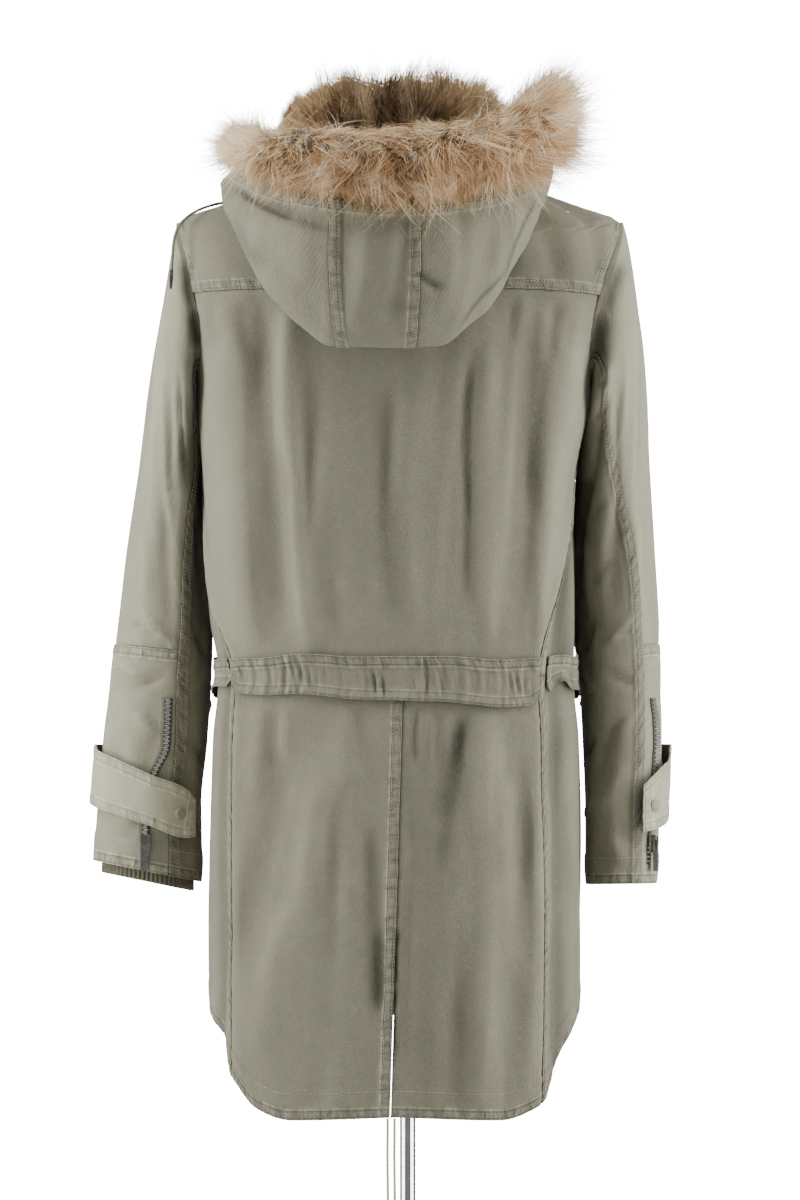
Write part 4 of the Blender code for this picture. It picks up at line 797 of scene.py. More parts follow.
def cotton_look(name, lift=1.0):
    """Washed cotton twill: cloudy wear, slubs along the warp, pale worn seams with puckers painted dark and
    pale as their shade and highlight. Fold ridges are painted paler, partly wear and partly painted
    highlight, and fold valleys darker as painted shade. Painted deep shade goes where the shade tables put it
    and on the cloth's inner face.
    """
    n = Nodes(name)
    base = times(OLIVE, lift)
    pale, deep, painted_shade_colour = (times(base, k) for k in (PALE, DEEP, PAINTED_SHADE))
    uv = n.new("UVMap", uv_map="cloth").outputs[0]
    slub = n.noise(1500.0, 2.0, n.stretched(uv, (1.0, 0.10, 1.0)), 0.6)
    weft = n.noise(1300.0, 2.0, n.stretched(uv, (0.14, 1.0, 1.0)), 0.6)
    streaks = n.noise(95.0, 3.0, n.stretched(uv, (1.0, 0.16, 1.0)), 0.6)
    large = n.noise(7.0, 3.0, roughness=0.55)
    small = n.noise(46.0, 4.0, roughness=0.65)
    mottle = n.sum((large, 0.40), (small, 0.35), (streaks, 0.25))
    threads = n.sum((slub, 0.6), (weft, 0.4))
    # The fold attribute holds three things. The first is the height of folds, creases and wrinkles in
    # millimetres, which paints their colour. The second is the painted shade of the shade tables. The third
    # is 1 on the cloth's inner face, which is painted dark as shade.
    fold, shaded, inside = n.attribute("fold")
    colour = n.mix(n.span(mottle, 0.36, 0.64), times(base, 0.87), base)
    # Fold heights paint the colour: ridges are paler, partly wear and partly painted highlight, and valleys
    # are darker as painted shade.
    for value, low, high, most, other, soft in (
        (mottle, 0.52, 0.70, 0.26, pale, False),
        (fold, 0.4, 5.0, 0.45, pale, True),
        (fold, -0.4, -5.5, 0.55, deep, True),
        (threads, 0.52, 0.70, 0.50, pale, False),
        (threads, 0.48, 0.30, 0.42, times(base, 0.76), False),
    ):
        colour = n.mix(n.span(value, low, high, 0.0, most, soft), colour, other)
    normal = twill(n, uv, threads)
    for attribute, seed in (("seam_side", 3.0), ("seam_level", 7.0)):
        colour, height = seam_wear_and_painted_light(n, colour, base, attribute, seed)
        normal = n.bump(height, SEAM_RELIEF, normal, 1.0)
    # Painted deep shade: where the shade tables put it, and over the cloth's whole inner face.
    for value, most in ((shaded, 0.88), (inside, 0.86)):
        colour = n.mix(n.math("MULTIPLY", value, most), colour, painted_shade_colour)
    n.set(Base_Color=colour, Roughness=0.94, Specular_IOR_Level=0.12, Normal=normal)
    n.set(Sheen_Weight=0.08, Sheen_Roughness=0.5, Sheen_Tint=(0.80, 0.78, 0.68))
    return n.material


def plain_fabric(name, colour, scale, depth, vary=0.25):
    n = Nodes(name)
    grain = n.noise(scale, 4.0, roughness=0.65)
    broad = n.noise(scale * 0.06, 2.0)
    tone = n.span(n.sum((grain, 0.6), (broad, 0.4)), 0.32, 0.68)
    n.set(Base_Color=n.mix(tone, times(colour, 1 - vary), times(colour, 1 + vary)), Roughness=0.9)
    n.set(Sheen_Weight=0.2, Specular_IOR_Level=0.2, Normal=n.bump(grain, depth))
    return n.material


def metal_look(name, colour, rough, wear):
    n = Nodes(name)
    grain = n.noise(420.0, 4.0, roughness=0.6)
    broad = n.noise(60.0, 3.0)
    n.set(Base_Color=n.mix(n.span(broad, 0.45, 0.68), colour, times(colour, wear)), Metallic=1.0)
    n.set(Roughness=n.span(grain, 0.3, 0.7, rough * 0.8, rough * 1.25))
    n.set(Normal=n.bump(grain, 0.00008, strength=0.4))
    return n.material


def fur_look(name, root, middle, tip, rare, other):
    """Hair colour along each strand, from root to tip, different for each strand and region."""
    n = Nodes(name)
    along, own, region = n.attribute("strand")
    ramp = n.new("ValToRGB")
    n.put(ramp.inputs["Fac"], along)
    stops = ramp.color_ramp.elements
    stops[0].position, stops[0].color = 0.0, (*root, 1)
    stops[1].position, stops[1].color = 1.0, (*tip, 1)
    stops.new(0.48).color = (*middle, 1)
    colour = ramp.outputs["Color"]
    for value, low, high, first, last, toward, soft in (
        (region, 0.10, 0.95, 0.0, 0.88, other, True), (own, 0.74, 1.0, 0.0, 0.85, rare, False),
        (own, 0.0, 0.30, 0.55, 0.0, root, False), (along, 0.0, 0.22, 0.60, 0.0, root, False),
    ):
        colour = n.mix(n.span(value, low, high, first, last, soft), colour, toward)
    n.set(Base_Color=colour, Roughness=0.6, Specular_IOR_Level=0.10)
    return n.material


COTTON = cotton_look("olive_cotton")
COTTON_TRIM = cotton_look("olive_cotton_trim", 1.10)
# Lit and shaded copies of one cotton: the sleeve and strap copies are lighter, painted light where the side
# lamps fall on them. The under-sleeve copy is darker, painted shade.
COTTON_SLEEVE_PAINTED_LIGHT = cotton_look("olive_cotton_sleeve", 1.40)
COTTON_STRAP_PAINTED_LIGHT = cotton_look("olive_cotton_strap", 1.98)
COTTON_SHADY = cotton_look("olive_cotton_under_sleeve", 0.92)
COTTON_PLAIN = plain_fabric("olive_snap_cover", times(OLIVE, 1.2), 700.0, 0.0003)
THREAD = plain_fabric("thread", (0.36, 0.34, 0.26), 900.0, 0.0001)
RIB = plain_fabric("rib_knit", (0.115, 0.108, 0.072), 500.0, 0.0004)
CORD_LOOK = plain_fabric("cord_braid", (0.42, 0.41, 0.28), 700.0, 0.0004, 0.3)
CORD_DARK = plain_fabric("cord_olive", (0.26, 0.245, 0.18), 700.0, 0.0004, 0.3)
TAPE = plain_fabric("zip_tape", (0.075, 0.070, 0.052), 900.0, 0.0002)
TEETH = metal_look("zip_teeth", (0.80, 0.78, 0.70), 0.30, 1.5)
DARK_METAL = metal_look("antique_metal", (0.42, 0.41, 0.37), 0.22, 0.5)
CHROME = metal_look("polished_chrome", (0.62, 0.62, 0.63), 0.10, 1.15)
FORM = plain_fabric("form_jersey", (0.66, 0.63, 0.56), 260.0, 0.0003, 0.06)
LINING_CLOTH = plain_fabric("fur_backing", (0.10, 0.075, 0.05), 300.0, 0.0006)
RUFF_FUR = fur_look(
    "ruff_fur", (0.150, 0.072, 0.032), (0.66, 0.36, 0.155), (0.90, 0.63, 0.34), (0.97, 0.87, 0.64),
    (0.97, 0.80, 0.52),
)
LINING_FUR = fur_look(
    "lining_fur", (0.030, 0.018, 0.012), (0.150, 0.090, 0.052), (0.32, 0.215, 0.125), (0.66, 0.52, 0.33),
    (0.62, 0.44, 0.25),
)

# Camera and free cords
HEM_CORD_R = 0.0014
CORD_SIDES = 14
PLAITS = 5


def camera():
    data = bpy.data.cameras.new("camera")
    data.sensor_fit = "AUTO"
    data.sensor_width = SENSOR
    data.lens = LENS
    made = bpy.data.objects.new("camera", data)
    made.location = CAMERA
    made.rotation_euler = (math.pi / 2, 0, 0)
    bpy.context.scene.collection.objects.link(made)
    bpy.context.scene.camera = made


def smooth_route(route):
    route = np.array(route, float)
    padded = np.vstack([2 * route[0] - route[1], route, 2 * route[-1] - route[-2]])
    points = []
    for i in range(1, len(padded) - 2):
        for u in (0, 0.25, 0.5, 0.75):
            points.append(through(*padded[i - 1 : i + 3], u))
    points.append(route[-1])
    return np.array(points)


def braid(name, route, radius, look, node):
    """A cord as a tube with a soft plaited surface."""
    path = smooth_route(route)
    run = run_of(path)
    count = max(40, int(run[-1] / 0.0009))
    at = np.linspace(0, run[-1], count)
    centre = at_run(run, path, at)
    way = unit(np.gradient(centre, axis=0))
    side = unit(np.cross(way, np.array([0.3, 0.9, 0.2])))
    up = np.cross(way, side)
    t = 2 * np.pi * np.arange(CORD_SIDES) / CORD_SIDES
    twist = at[:, None] / (radius * 5.0)
    plait = 1 + 0.07 * (np.sin(PLAITS * (t[None] + twist)) * np.sin(PLAITS * (t[None] - twist)))
    round_it = side[:, None] * np.cos(t)[None, :, None] + up[:, None] * np.sin(t)[None, :, None]
    ring = centre[:, None] + radius * plait[..., None] * round_it
    ends = [np.arange(CORD_SIDES)[None, ::-1], np.arange((count - 1) * CORD_SIDES, count * CORD_SIDES)[None]]
    faces = [cells(count, CORD_SIDES, 0, True), *ends]
    made = piece_mesh(name, ring.reshape(-1, 3), faces, look, "cord")
    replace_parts(made, node)


camera()
braid("hood_cord_braid", SHOULDER_CORD, CORD_R, CORD_DARK, "hood_cord")
for _, side_name in SIDES:
    braid(f"hem_cord_{side_name}_braid", hem_cord_route(HEM_CORDS[side_name]), HEM_CORD_R, CORD_LOOK,
          f"hem_cord_{side_name}")

# Cloth panels
# Folds and creases beyond those of the solids, by where they show in the picture:
# from, to, half width in pixels, height in millimetres.
CREASES = table(
    "x0 y0 x1 y1 wide rise",
    (285, 310, 296, 480, 6, 1.6), (296, 480, 309, 650, 6, 1.4), (268, 320, 268, 640, 9, -1.5),
    (228, 340, 228, 660, 15, 1.6), (395, 380, 396, 640, 6, -0.8), (421, 380, 422, 600, 5, 0.8),
    (471, 360, 470, 520, 4, -1.2), (487, 360, 488, 640, 7, 1.2), (535, 300, 532, 520, 7, -1.8),
    (572, 350, 545, 657, 11, 2.0), (556, 380, 551, 640, 6, -1.2), (350, 380, 352, 620, 12, 0.8),
    (240, 300, 250, 350, 5, -0.9), (515, 300, 512, 345, 4, -1.0), (556, 305, 552, 360, 4, -1.0),
    (575, 308, 568, 350, 3, -0.8), (213, 298, 216, 345, 4, -0.9), (330, 520, 341, 640, 7, -0.7),
    (333, 773, 300, 890, 8, 1.5), (300, 890, 267, 990, 9, 1.5), (318, 800, 285, 930, 9, -1.1),
    (463, 723, 440, 823, 8, -1.8), (490, 710, 483, 840, 7, 1.4), (533, 850, 517, 1000, 9, 1.6),
    (382, 930, 381, 1010, 5, -1.8), (410, 720, 415, 860, 6, -0.8), (430, 880, 424, 1040, 9, 0.9),
    (470, 900, 468, 1060, 9, -0.9), (500, 760, 497, 880, 6, -1.0), (262, 705, 258, 800, 5, 1.0),
    (276, 705, 275, 770, 4, -1.3), (288, 703, 288, 760, 3, 0.9), (345, 705, 342, 790, 5, 0.9),
    (360, 705, 358, 770, 4, -1.0), (418, 707, 417, 765, 3, -1.1), (428, 707, 428, 760, 3, 0.9),
    (438, 707, 440, 770, 4, -0.9), (476, 710, 473, 765, 4, 0.9), (512, 714, 508, 790, 5, -1.2),
    (247, 820, 244, 1010, 6, 0.9), (352, 860, 349, 1060, 8, 0.8), (225, 700, 222, 900, 5, -1.4),
    (219, 740, 216, 980, 4, 1.2), (556, 720, 553, 900, 5, -1.4), (567, 730, 566, 960, 5, 1.2),
    (262, 190, 300, 213, 4, -2.2), (300, 213, 330, 222, 6, -1.0), (415, 273, 441, 289, 4, -1.6),
    (250, 222, 292, 236, 7, 1.0), (262, 250, 310, 300, 8, -1.0), (366, 232, 364, 330, 9, 0.9),
    (398, 240, 400, 325, 8, -0.9), (470, 225, 455, 320, 8, 1.0), (500, 205, 488, 280, 7, -1.2),
    (520, 190, 516, 240, 5, 1.0), (345, 300, 430, 306, 8, -0.9), (240, 205, 262, 262, 5, 0.8),
)
# Sleeve wrinkles: angle round the sleeve and place along it, from and to, width in millimetres, height.
WRINKLES = table(
    "a0 v0 a1 v1 wide rise",
    (95, 0.14, 128, 0.40, 5.0, -1.8), (60, 0.16, 96, 0.46, 6.0, 1.6), (35, 0.20, 62, 0.50, 6.0, -1.4),
    (60, 0.60, 100, 0.645, 4.0, 1.4), (40, 0.615, 84, 0.632, 3.2, -1.5), (20, 0.67, 70, 0.70, 4.0, 1.5),
    (55, 0.72, 104, 0.69, 3.5, -1.4), (10, 0.73, 52, 0.76, 4.0, -1.3), (64, 0.76, 98, 0.80, 3.5, 1.3),
    (30, 0.90, 74, 0.93, 4.0, 1.3), (60, 0.95, 100, 0.94, 3.2, -1.2), (15, 0.84, 30, 0.90, 4.0, 1.2),
    (125, 0.30, 150, 0.52, 5.0, -1.8), (150, 0.34, 168, 0.62, 5.0, 1.6), (118, 0.60, 150, 0.66, 4.0, -1.5),
    (122, 0.72, 158, 0.68, 4.0, 1.4), (126, 0.80, 160, 0.84, 4.0, -1.3), (130, 0.90, 165, 0.92, 4.0, 1.2),
    (-30, 0.18, -55, 0.46, 6.0, 1.5), (-66, 0.22, -88, 0.52, 6.0, -1.6), (-105, 0.26, -128, 0.50, 5.0, 1.5),
    (-20, 0.60, -72, 0.64, 4.0, -1.4), (-34, 0.69, -88, 0.72, 4.0, 1.4), (-60, 0.78, -104, 0.76, 4.0, -1.3),
    (-140, 0.36, -160, 0.66, 5.0, -1.5), (-130, 0.72, -170, 0.75, 4.0, 1.3), (-20, 0.90, -70, 0.94, 4.0, 1.2),
)
# Deep shade in the folds between sleeve and body: from, to, half width in pixels, strength.
SHADES = table(
    "x0 y0 x1 y1 wide rise",
    (183, 258, 193, 312, 6, 0.85), (194, 305, 199, 350, 8, 1.00), (198, 345, 198, 520, 8, 0.80),
    (198, 500, 199, 650, 9, 0.60), (624, 262, 607, 318, 8, 0.80), (607, 312, 600, 366, 12, 0.95),
    (592, 372, 584, 480, 8, 0.65), (583, 470, 581, 552, 12, 0.85), (580, 550, 580, 655, 9, 0.60),
    (606, 500, 590, 530, 5, 0.35), (612, 560, 596, 588, 5, 0.40), (598, 660, 588, 780, 9, 0.35),
)
# The same on the side panels of the body.
SIDE_SHADES = table(
    "x0 y0 x1 y1 wide rise",
    (566, 500, 568, 700, 10, 0.60), (206, 560, 214, 700, 8, 0.30), (556, 700, 572, 900, 9, 0.20),
)
# And on the hood: its creases by the fur and the line of its edge band.
HOOD_SHADES = table(
    "x0 y0 x1 y1 wide rise",
    (236, 190, 298, 222, 4.0, 0.90), (294, 220, 336, 230, 5.0, 0.45), (414, 270, 442, 289, 3.0, 0.60),
    (538, 196, 505, 278, 2.0, 0.62), (508, 270, 458, 330, 2.0, 0.62), (232, 214, 262, 268, 7.0, 0.34),
    (330, 222, 440, 224, 9.0, 0.22), (444, 222, 530, 196, 7.0, 0.22),
)
# And on the back: broad soft shade, and the dark of the vent's gap.
BACK_SHADES = table(
    "x0 y0 x1 y1 wide rise",
    (500, 262, 622, 272, 34, 0.34), (450, 690, 446, 1150, 34, 0.26), (268, 700, 262, 1120, 34, 0.13),
    (212, 330, 212, 640, 26, 0.08), (398.4, 928, 397.2, 990, 3.0, 1.0), (397.2, 980, 395.6, 1058, 2.8, 1.0),
    (385, 940, 384, 1000, 3.5, 0.30),
    (560, 676, 552, 700, 7.0, 0.62), (541, 668, 541, 704, 5.0, 0.30), (236, 668, 238, 706, 4.0, 0.30),
    (568, 668, 572, 700, 4.0, 0.35),
)
# Creases of the sleeves in the picture: the deep folds at the right and the crumpled cuffs.
SLEEVE_CREASES = table(
    "x0 y0 x1 y1 wide rise",
    (600, 640, 606, 735, 6, 2.2), (618, 722, 597, 790, 6, -3.2), (627, 764, 600, 818, 6, 2.6),
    (612, 835, 632, 872, 6, 1.8), (596, 846, 622, 868, 4, -2.2), (590, 600, 594, 680, 6, -2.2),
    (148, 838, 138, 864, 3.0, -2.4), (156, 846, 150, 870, 3.5, 1.8), (166, 858, 170, 884, 2.6, -2.4),
    (180, 852, 170, 876, 3.0, -2.2), (196, 846, 176, 866, 3.2, 2.0), (176, 846, 162, 854, 2.6, -1.8),
    (120, 846, 112, 866, 4.0, 1.5), (128, 700, 134, 770, 7.0, 1.2), (190, 700, 194, 800, 5.0, 1.6),
)
# Folds of the front, as the back's: from and to in x and z, width and height in metres.
FRONT_CREASES = table(
    "x0 z0 x1 z1 wide rise",
    (0.150, 1.230, 0.132, 0.990, 0.008, 0.0014), (0.094, 1.180, 0.090, 0.980, 0.007, -0.0012),
    (0.045, 1.160, 0.048, 0.975, 0.006, 0.0010), (-0.150, 1.220, -0.136, 0.985, 0.008, 0.0014),
    (-0.092, 1.190, -0.090, 0.980, 0.007, -0.0012), (-0.046, 1.150, -0.050, 0.970, 0.006, 0.0010),
    (0.120, 1.300, 0.080, 1.220, 0.008, 0.0012), (-0.130, 1.300, -0.090, 1.210, 0.008, 0.0012),
    (0.140, 0.880, 0.150, 0.700, 0.008, -0.0014), (0.080, 0.890, 0.088, 0.760, 0.006, 0.0012),
    (0.046, 0.890, 0.048, 0.800, 0.005, -0.0011), (-0.140, 0.880, -0.155, 0.690, 0.008, -0.0014),
    (-0.090, 0.890, -0.094, 0.770, 0.006, 0.0012), (-0.056, 0.890, -0.056, 0.790, 0.005, -0.0011),
)


def along_line(x, y, x0, y0, x1, y1):
    """Distance from a line, and how much of it counts there: it fades at both ends."""
    dx, dy = x1 - x0, y1 - y0
    size = math.hypot(dx, dy)
    t = ((x - x0) * dx + (y - y0) * dy) / size**2
    far = ((x - x0) * dy - (y - y0) * dx) / size
    bow = 0.035 * size * np.sin(np.clip(t, 0, 1) * 3.1)
    return far + bow, ease(-0.10, 0.22, t) * (1 - ease(0.78, 1.10, t))


CREASE_DEPTH = 1.9
CREASE_SPREAD = 1.5
SLEEVE_DEPTH = 2.7
MM = 0.001
BODY_BULGE = (1.186, 0.0022)  # height above the floor and rise of the cloth below the arm
SLEEVE_BULGE = (1.182, 0.0050)
BULGE_TALL = 0.042


def underarm(points, away_side, low, high, bulge):
    """The bulge below the arm, on cloth that faces the arm."""
    here = np.exp(-(((points[..., 2] - bulge[0]) / BULGE_TALL) ** 2))
    return bulge[1] * here * ease(low, high, away_side)


def drawn(rows, points, away, spread=1.0):
    """Height of the creases of one table, for cloth that faces the camera."""
    x, y = project(points)
    total = np.zeros(x.shape)
    for x0, y0, x1, y1, wide, rise in zip(*rows.values()):
        far, share = along_line(x, y, x0, y0, x1, y1)
        total += rise * MM * share * np.exp(-((far / (wide * spread)) ** 2))
    return total * ease(0.05, 0.45, -away[..., 1])


def creases(points, away):
    """Height of the shown creases and of the front's."""
    total = drawn(CREASES, points, away, CREASE_SPREAD)
    front = np.zeros(total.shape)
    for row in zip(*FRONT_CREASES.values()):
        far, share = along_line(points[..., 0], points[..., 2], *row[:4])
        front += row[5] * share * np.exp(-((far / row[4]) ** 2))
    bulge = underarm(points, np.abs(away[..., 0]), 0.55, 0.98, BODY_BULGE)
    return total + front * ease(0.05, 0.45, away[..., 1]) + bulge


SHADE_TABLES = (
    ("sleeve_", SHADES), ("hood_", HOOD_SHADES), ("back_", BACK_SHADES), ("waist_casing", BACK_SHADES),
    ("front_upper", SIDE_SHADES), ("front_skirt", SIDE_SHADES),
)


def shade(node, points, away):
    """How deep in shade each point lies, from 0 to 1."""
    found = [rows for start, rows in SHADE_TABLES if node.startswith(start)]
    if not found:
        return np.zeros(points.shape[:-1])
    x, y = project(points)
    total = np.zeros(x.shape)
    for x0, y0, x1, y1, wide, strength in zip(*found[0].values()):
        far, share = along_line(x, y, x0, y0, x1, y1)
        total = np.maximum(total, strength * share * np.exp(-((far / wide) ** 2)))
    if node.startswith("back_skirt_left"):
        total = np.minimum(total, 0.5)
    return total * ease(0.35, -0.15, away[..., 1])


def drape(points, seed=5):
    """Slow unevenness of hanging cloth, mostly along its length."""
    rng = np.random.default_rng(seed)
    x = points[..., 0] + 0.9 * points[..., 1]
    z = points[..., 2]
    total = np.zeros(x.shape)
    for _ in range(14):
        wide = rng.uniform(0.020, 0.075)
        tall = rng.uniform(0.30, 1.10)
        total = total + wide * np.sin(6.28 * (x / wide + z / tall * rng.choice((-1, 1)) + rng.uniform()))
    total = total * 0.0080
    near_casing = np.exp(-(((z - 0.923) / 0.034) ** 4))
    near_front = ease(0.0, 0.02, points[..., 1]) * np.exp(-(((points[..., 0] - CX) / 0.045) ** 4))
    return total * (1 - near_casing) * (1 - near_front)


EDGES = ("left", "right", "low", "high")
BAND = {"fell": 0.0100, "hem": 0.0270, "turned": 0.0075, "stitched": 0.0100}


def relief(far, run, kind, seed):
    """Height beside one edge: its raised band, its stitch lines and its puckers."""
    if kind in (None, "lip"):
        return 0
    if kind == "under":
        groove = -0.0004 * np.exp(-((far / 0.0022) ** 2))
        return groove + 0.00035 * uneven(run, seed, 330.0) * np.exp(-((far / 0.013) ** 2))
    band = BAND[kind]
    rise = 0.00075 * (1 - ease(band - 0.0006, band + 0.0012, far))
    for line in (0.0016, band - 0.0018):
        rise = rise - 0.00035 * np.exp(-(((far - line) / 0.0009) ** 2))
    pucker = uneven(run, seed, 340.0) * 0.00050 * np.exp(-(((far - band * 0.5) / (band * 0.9)) ** 2))
    return rise + pucker


# How strongly an edge shows its seam marks: the worn pale edge, stitch lines and the puckers' painted shade
# and highlight. At the casing's free lip the pale edge is partly wear and partly painted highlight. Edges not
# named here show them all.
WEAR_AND_PAINTED_LIGHT = {None: 0.0, "under": 0.08, "lip": 0.7, "turned": 0.6}
FAR_OFF = 9.0


def shown_folds(node, a, v):
    """The solid's own folds at a grid, in metres, for the colour that they paint: paler ridges, partly wear
    and partly painted highlight, and darker valleys as painted shade.
    """
    if node.startswith(("back_", "front_")):
        return fold_height(a, v)
    if node.startswith("sleeve_"):
        return sleeve_folds(a, v)
    return np.zeros(np.shape(a))


def outward(surface, a, v, base):
    """The outward way at each grid point."""
    away = unit(np.cross(np.gradient(base, axis=1), np.gradient(base, axis=0)))
    spot = (a[1:2, 1:2], v[1:2, 1:2])
    out_way = surface(*spot, 0.001)[0, 0] - surface(*spot)[0, 0]
    return -away if np.dot(away[1, 1], out_way) < 0 else away


def seam_attributes(far, run, kinds):
    """For the nearer edge of each pair: distance from it, run along it, and how strongly it shows its seam
    marks, which are wear, stitch lines and the puckers' painted shade and highlight.
    """
    marks = {}
    for key, pair in (("seam_side", ("left", "right")), ("seam_level", ("low", "high"))):
        # The share of each edge's seam marks: wear, stitch lines and painted pucker shade and highlight.
        wear = [WEAR_AND_PAINTED_LIGHT.get(kinds.get(edge), 1.0) for edge in pair]
        near = [np.where(w == 0, FAR_OFF, far[edge]) for w, edge in zip(wear, pair)]
        use_first = near[0] <= near[1]
        d = np.where(use_first, far[pair[0]], far[pair[1]])
        kind = np.where(use_first, *wear) + 0 * d
        marks[key] = np.stack([d, run[pair[0]] + 0 * d, kind], -1).reshape(-1, 3)
    return marks


def weave_places(a, v, across, along):
    """Where each point lies on the flat weave."""
    u_scale = np.median(np.abs(np.diff(across, axis=1) / np.diff(a, axis=1)))
    v_scale = np.median(np.abs(np.diff(along, axis=0) / np.diff(v, axis=0)))
    return np.stack([a * u_scale, v * v_scale], -1).reshape(-1, 2)


def cloth(name, node, surface, a, v, kinds, thick=WALL, look=COTTON, out=0.0, extra=None, creased=True):
    """A cloth piece on a surface: a is the angle and v the row at each grid point.

    kinds names each edge's finish, and extra(points, across, along, away) gives more height.
    Returns the outer points and their outward ways."""
    base = surface(a, v)
    away = outward(surface, a, v, base)
    across, along = arcs(base, 1), arcs(base, 0)
    far = {"left": across, "right": across[:, -1:] - across, "low": along, "high": along[-1:] - along}
    run = {"left": along, "right": along, "low": across, "high": across}
    height = np.zeros(across.shape) + out
    seed = sum(map(ord, name))
    for k, edge in enumerate(EDGES):
        height = height + relief(far[edge], run[edge], kinds.get(edge), seed + k)
    folds = shown_folds(node, a, v)
    inside = ease(0.0, 0.022, np.minimum.reduce([far[edge] for edge in EDGES]))
    if creased:
        lines = creases(base, away) * CREASE_DEPTH
        height, folds = height + lines + drape(base) * inside, folds + lines
    if extra is not None:
        more = extra(base, across, along, away)
        if node.startswith("sleeve_"):
            more = more * inside
        height, folds = height + more, folds + more
    outer = base + away * height[..., None]
    points, faces = wall(outer, outer - away * thick)
    if np.dot(np.cross(outer[1, 2] - outer[1, 1], outer[2, 1] - outer[1, 1]), away[1, 1]) < 0:
        faces = [f[:, ::-1] for f in faces]
    marks = seam_attributes(far, run, kinds)
    # Fold heights for the painted ridge highlight, partly wear, and the painted valley shade; then the
    # painted shade of the tables; then the inner face, set just below.
    marks["fold"] = np.stack([folds * 1000, shade(node, base, away), 0 * folds], -1).reshape(-1, 3)
    marks = {k: np.concatenate([m, m]) for k, m in marks.items()}
    # The whole inner face of the cloth is painted dark as shade.
    marks["fold"][a.size :, 2] = 1
    uv = weave_places(a, v, across, along)
    made = piece_mesh(name, points, faces, look, "cotton", np.concatenate([uv, uv]), marks)
    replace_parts(made, node)
    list(cut(base))
    return outer, away


def cut(base):
    """The flat cut of a piece, from its surface before creases: flat, held, and area."""
    width = float(arcs(base, 1)[:, -1].max())
    length = float(arcs(base, 0)[-1].max())
    a, b = base[:-1, :-1], base[1:, 1:]
    area = float(np.linalg.norm(np.cross(b - a, base[1:, :-1] - base[:-1, 1:]), axis=-1).sum() / 2)
    return (width, length), "hung", (), min(area, width * length)


def body_grid(heights, left, right, step=0.0042, first=True, last=True, held=0.0):
    """Angles and heights of a body panel between two edges given at each height.

    held is the share of the columns, in the middle, that stay at one angle."""
    sample = body(spread_angles(left, right, 30), np.repeat(heights[:, None], 30, 1))
    wide = float(np.median(arcs(sample, 1)[:, -1]))
    u = spaced(wide, step, first, last)
    rows = np.repeat(heights[:, None], len(u), 1)
    if held == 0.0:
        return left[:, None] * (1 - u) + right[:, None] * u, rows
    place = 2 * u - 1
    core = held * min(np.median(right), -np.median(left))
    free = np.clip((np.abs(place) - held) / (1 - held), 0, 1)
    edge = np.where(place < 0, -left[:, None], right[:, None])
    return np.sign(place) * (core * np.minimum(np.abs(place) / held, 1) + (edge - core) * free), rows


def rows_between(low, high, step=0.0045, first=True, last=True, fixed=()):
    h = low + (high - low) * spaced(abs(high - low), step, first, last)
    fixed = np.array(fixed, float)
    if len(fixed):
        h = h[np.abs(h[:, None] - fixed[None]).min(1) > 0.0009]
    return np.unique(np.concatenate([h, fixed]))


PIECES = {}
ALL_UNDER = dict.fromkeys(EDGES, "under")


def yoke_drop(angle, h):
    """How far the yoke's seam sags below its mean height, more at the ends and on the right."""
    sag = 0.0035 + np.where(angle < 0, 0.0095, 0.0135) * ease(22, 82, np.abs(angle))
    return sag * (1 - ease(0.0, 0.085, np.abs(h - YOKE_H)))


def yoke():
    h = rows_between(YOKE_H + HALF_GAP, NECK_H, 0.0045, True, False, (TIP_H,))
    edges = []
    for sign in (-1, 1):
        at = h - yoke_drop(np.full(len(h), sign * 80.0), h)
        edges.append(sign * (np.where(h <= TIP_H, 90 - arm_reach(at), 90.0) - GAP_ANGLE))
    a, v = body_grid(h, *edges)
    v = v - yoke_drop(a, v)
    kinds = {"low": "fell", "left": "fell", "right": "fell"}
    PIECES["yoke"] = cloth("yoke_cloth", "back_yoke", body, a, v, kinds)


def upper_back():
    near_arm = ARM_MID - ARM_HALF * np.cos(np.linspace(0, 0.62, 8))
    h = rows_between(WAIST_H + HALF_GAP, YOKE_H - HALF_GAP, 0.0050, False, True, tuple(near_arm))
    edges = []
    for sign in (-1, 1):
        at = h - yoke_drop(np.full(len(h), sign * 80.0), h)
        edges.append(sign * (side_limit(at, sign) - GAP_ANGLE))
    a, v = body_grid(h, *edges, 0.0040, held=0.72)
    v = v - yoke_drop(a, v)
    kinds = {"high": "under", "left": "under", "right": "under"}
    PIECES["upper_back"] = cloth("upper_back_cloth", "back_upper", body, a, v, kinds)


def skirt_grid(low, inner, outer, sign, step=0.0042):
    """A skirt panel's grid: rows from hem to waist at even shares of the height."""
    length = WAIST_H - low
    share = spaced(length, 0.0050, True, False)
    share = np.unique(np.round(np.concatenate([share, np.array([0.022, 0.026, 0.0285, 0.031]) / length]), 5))
    nominal = 0.55 + (WAIST_H - 0.55) * share
    start, end = inner(0.515 + (WAIST_H - 0.515) * share), outer(nominal)
    wide = abs(float(np.median(end - start))) * math.pi / 180 * 0.135
    u = spaced(wide, step)
    a = start[:, None] * (1 - u) + end[:, None] * u
    low_z = hem_z(a)
    v = low_z + (WAIST_H - HALF_GAP - low_z) * share[:, None]
    return (a, v) if sign > 0 else (a[:, ::-1], v[:, ::-1])


VENT_OPEN = 0.12  # the part of the vent's gap that stays open to light
PLACKET_ANGLES = (169.0, 191.0)


def side_line(sign, side, beyond, h):
    """The side seam's angle, or a gap beyond it."""
    return sign * (smooth(SIDE_SEAM, "h", side, h) + beyond * GAP_ANGLE)


def vent_line(sign, h):
    return centre_seam(h) + sign * (GAP_ANGLE + VENT_OPEN * (vent_half(h) - GAP_ANGLE))


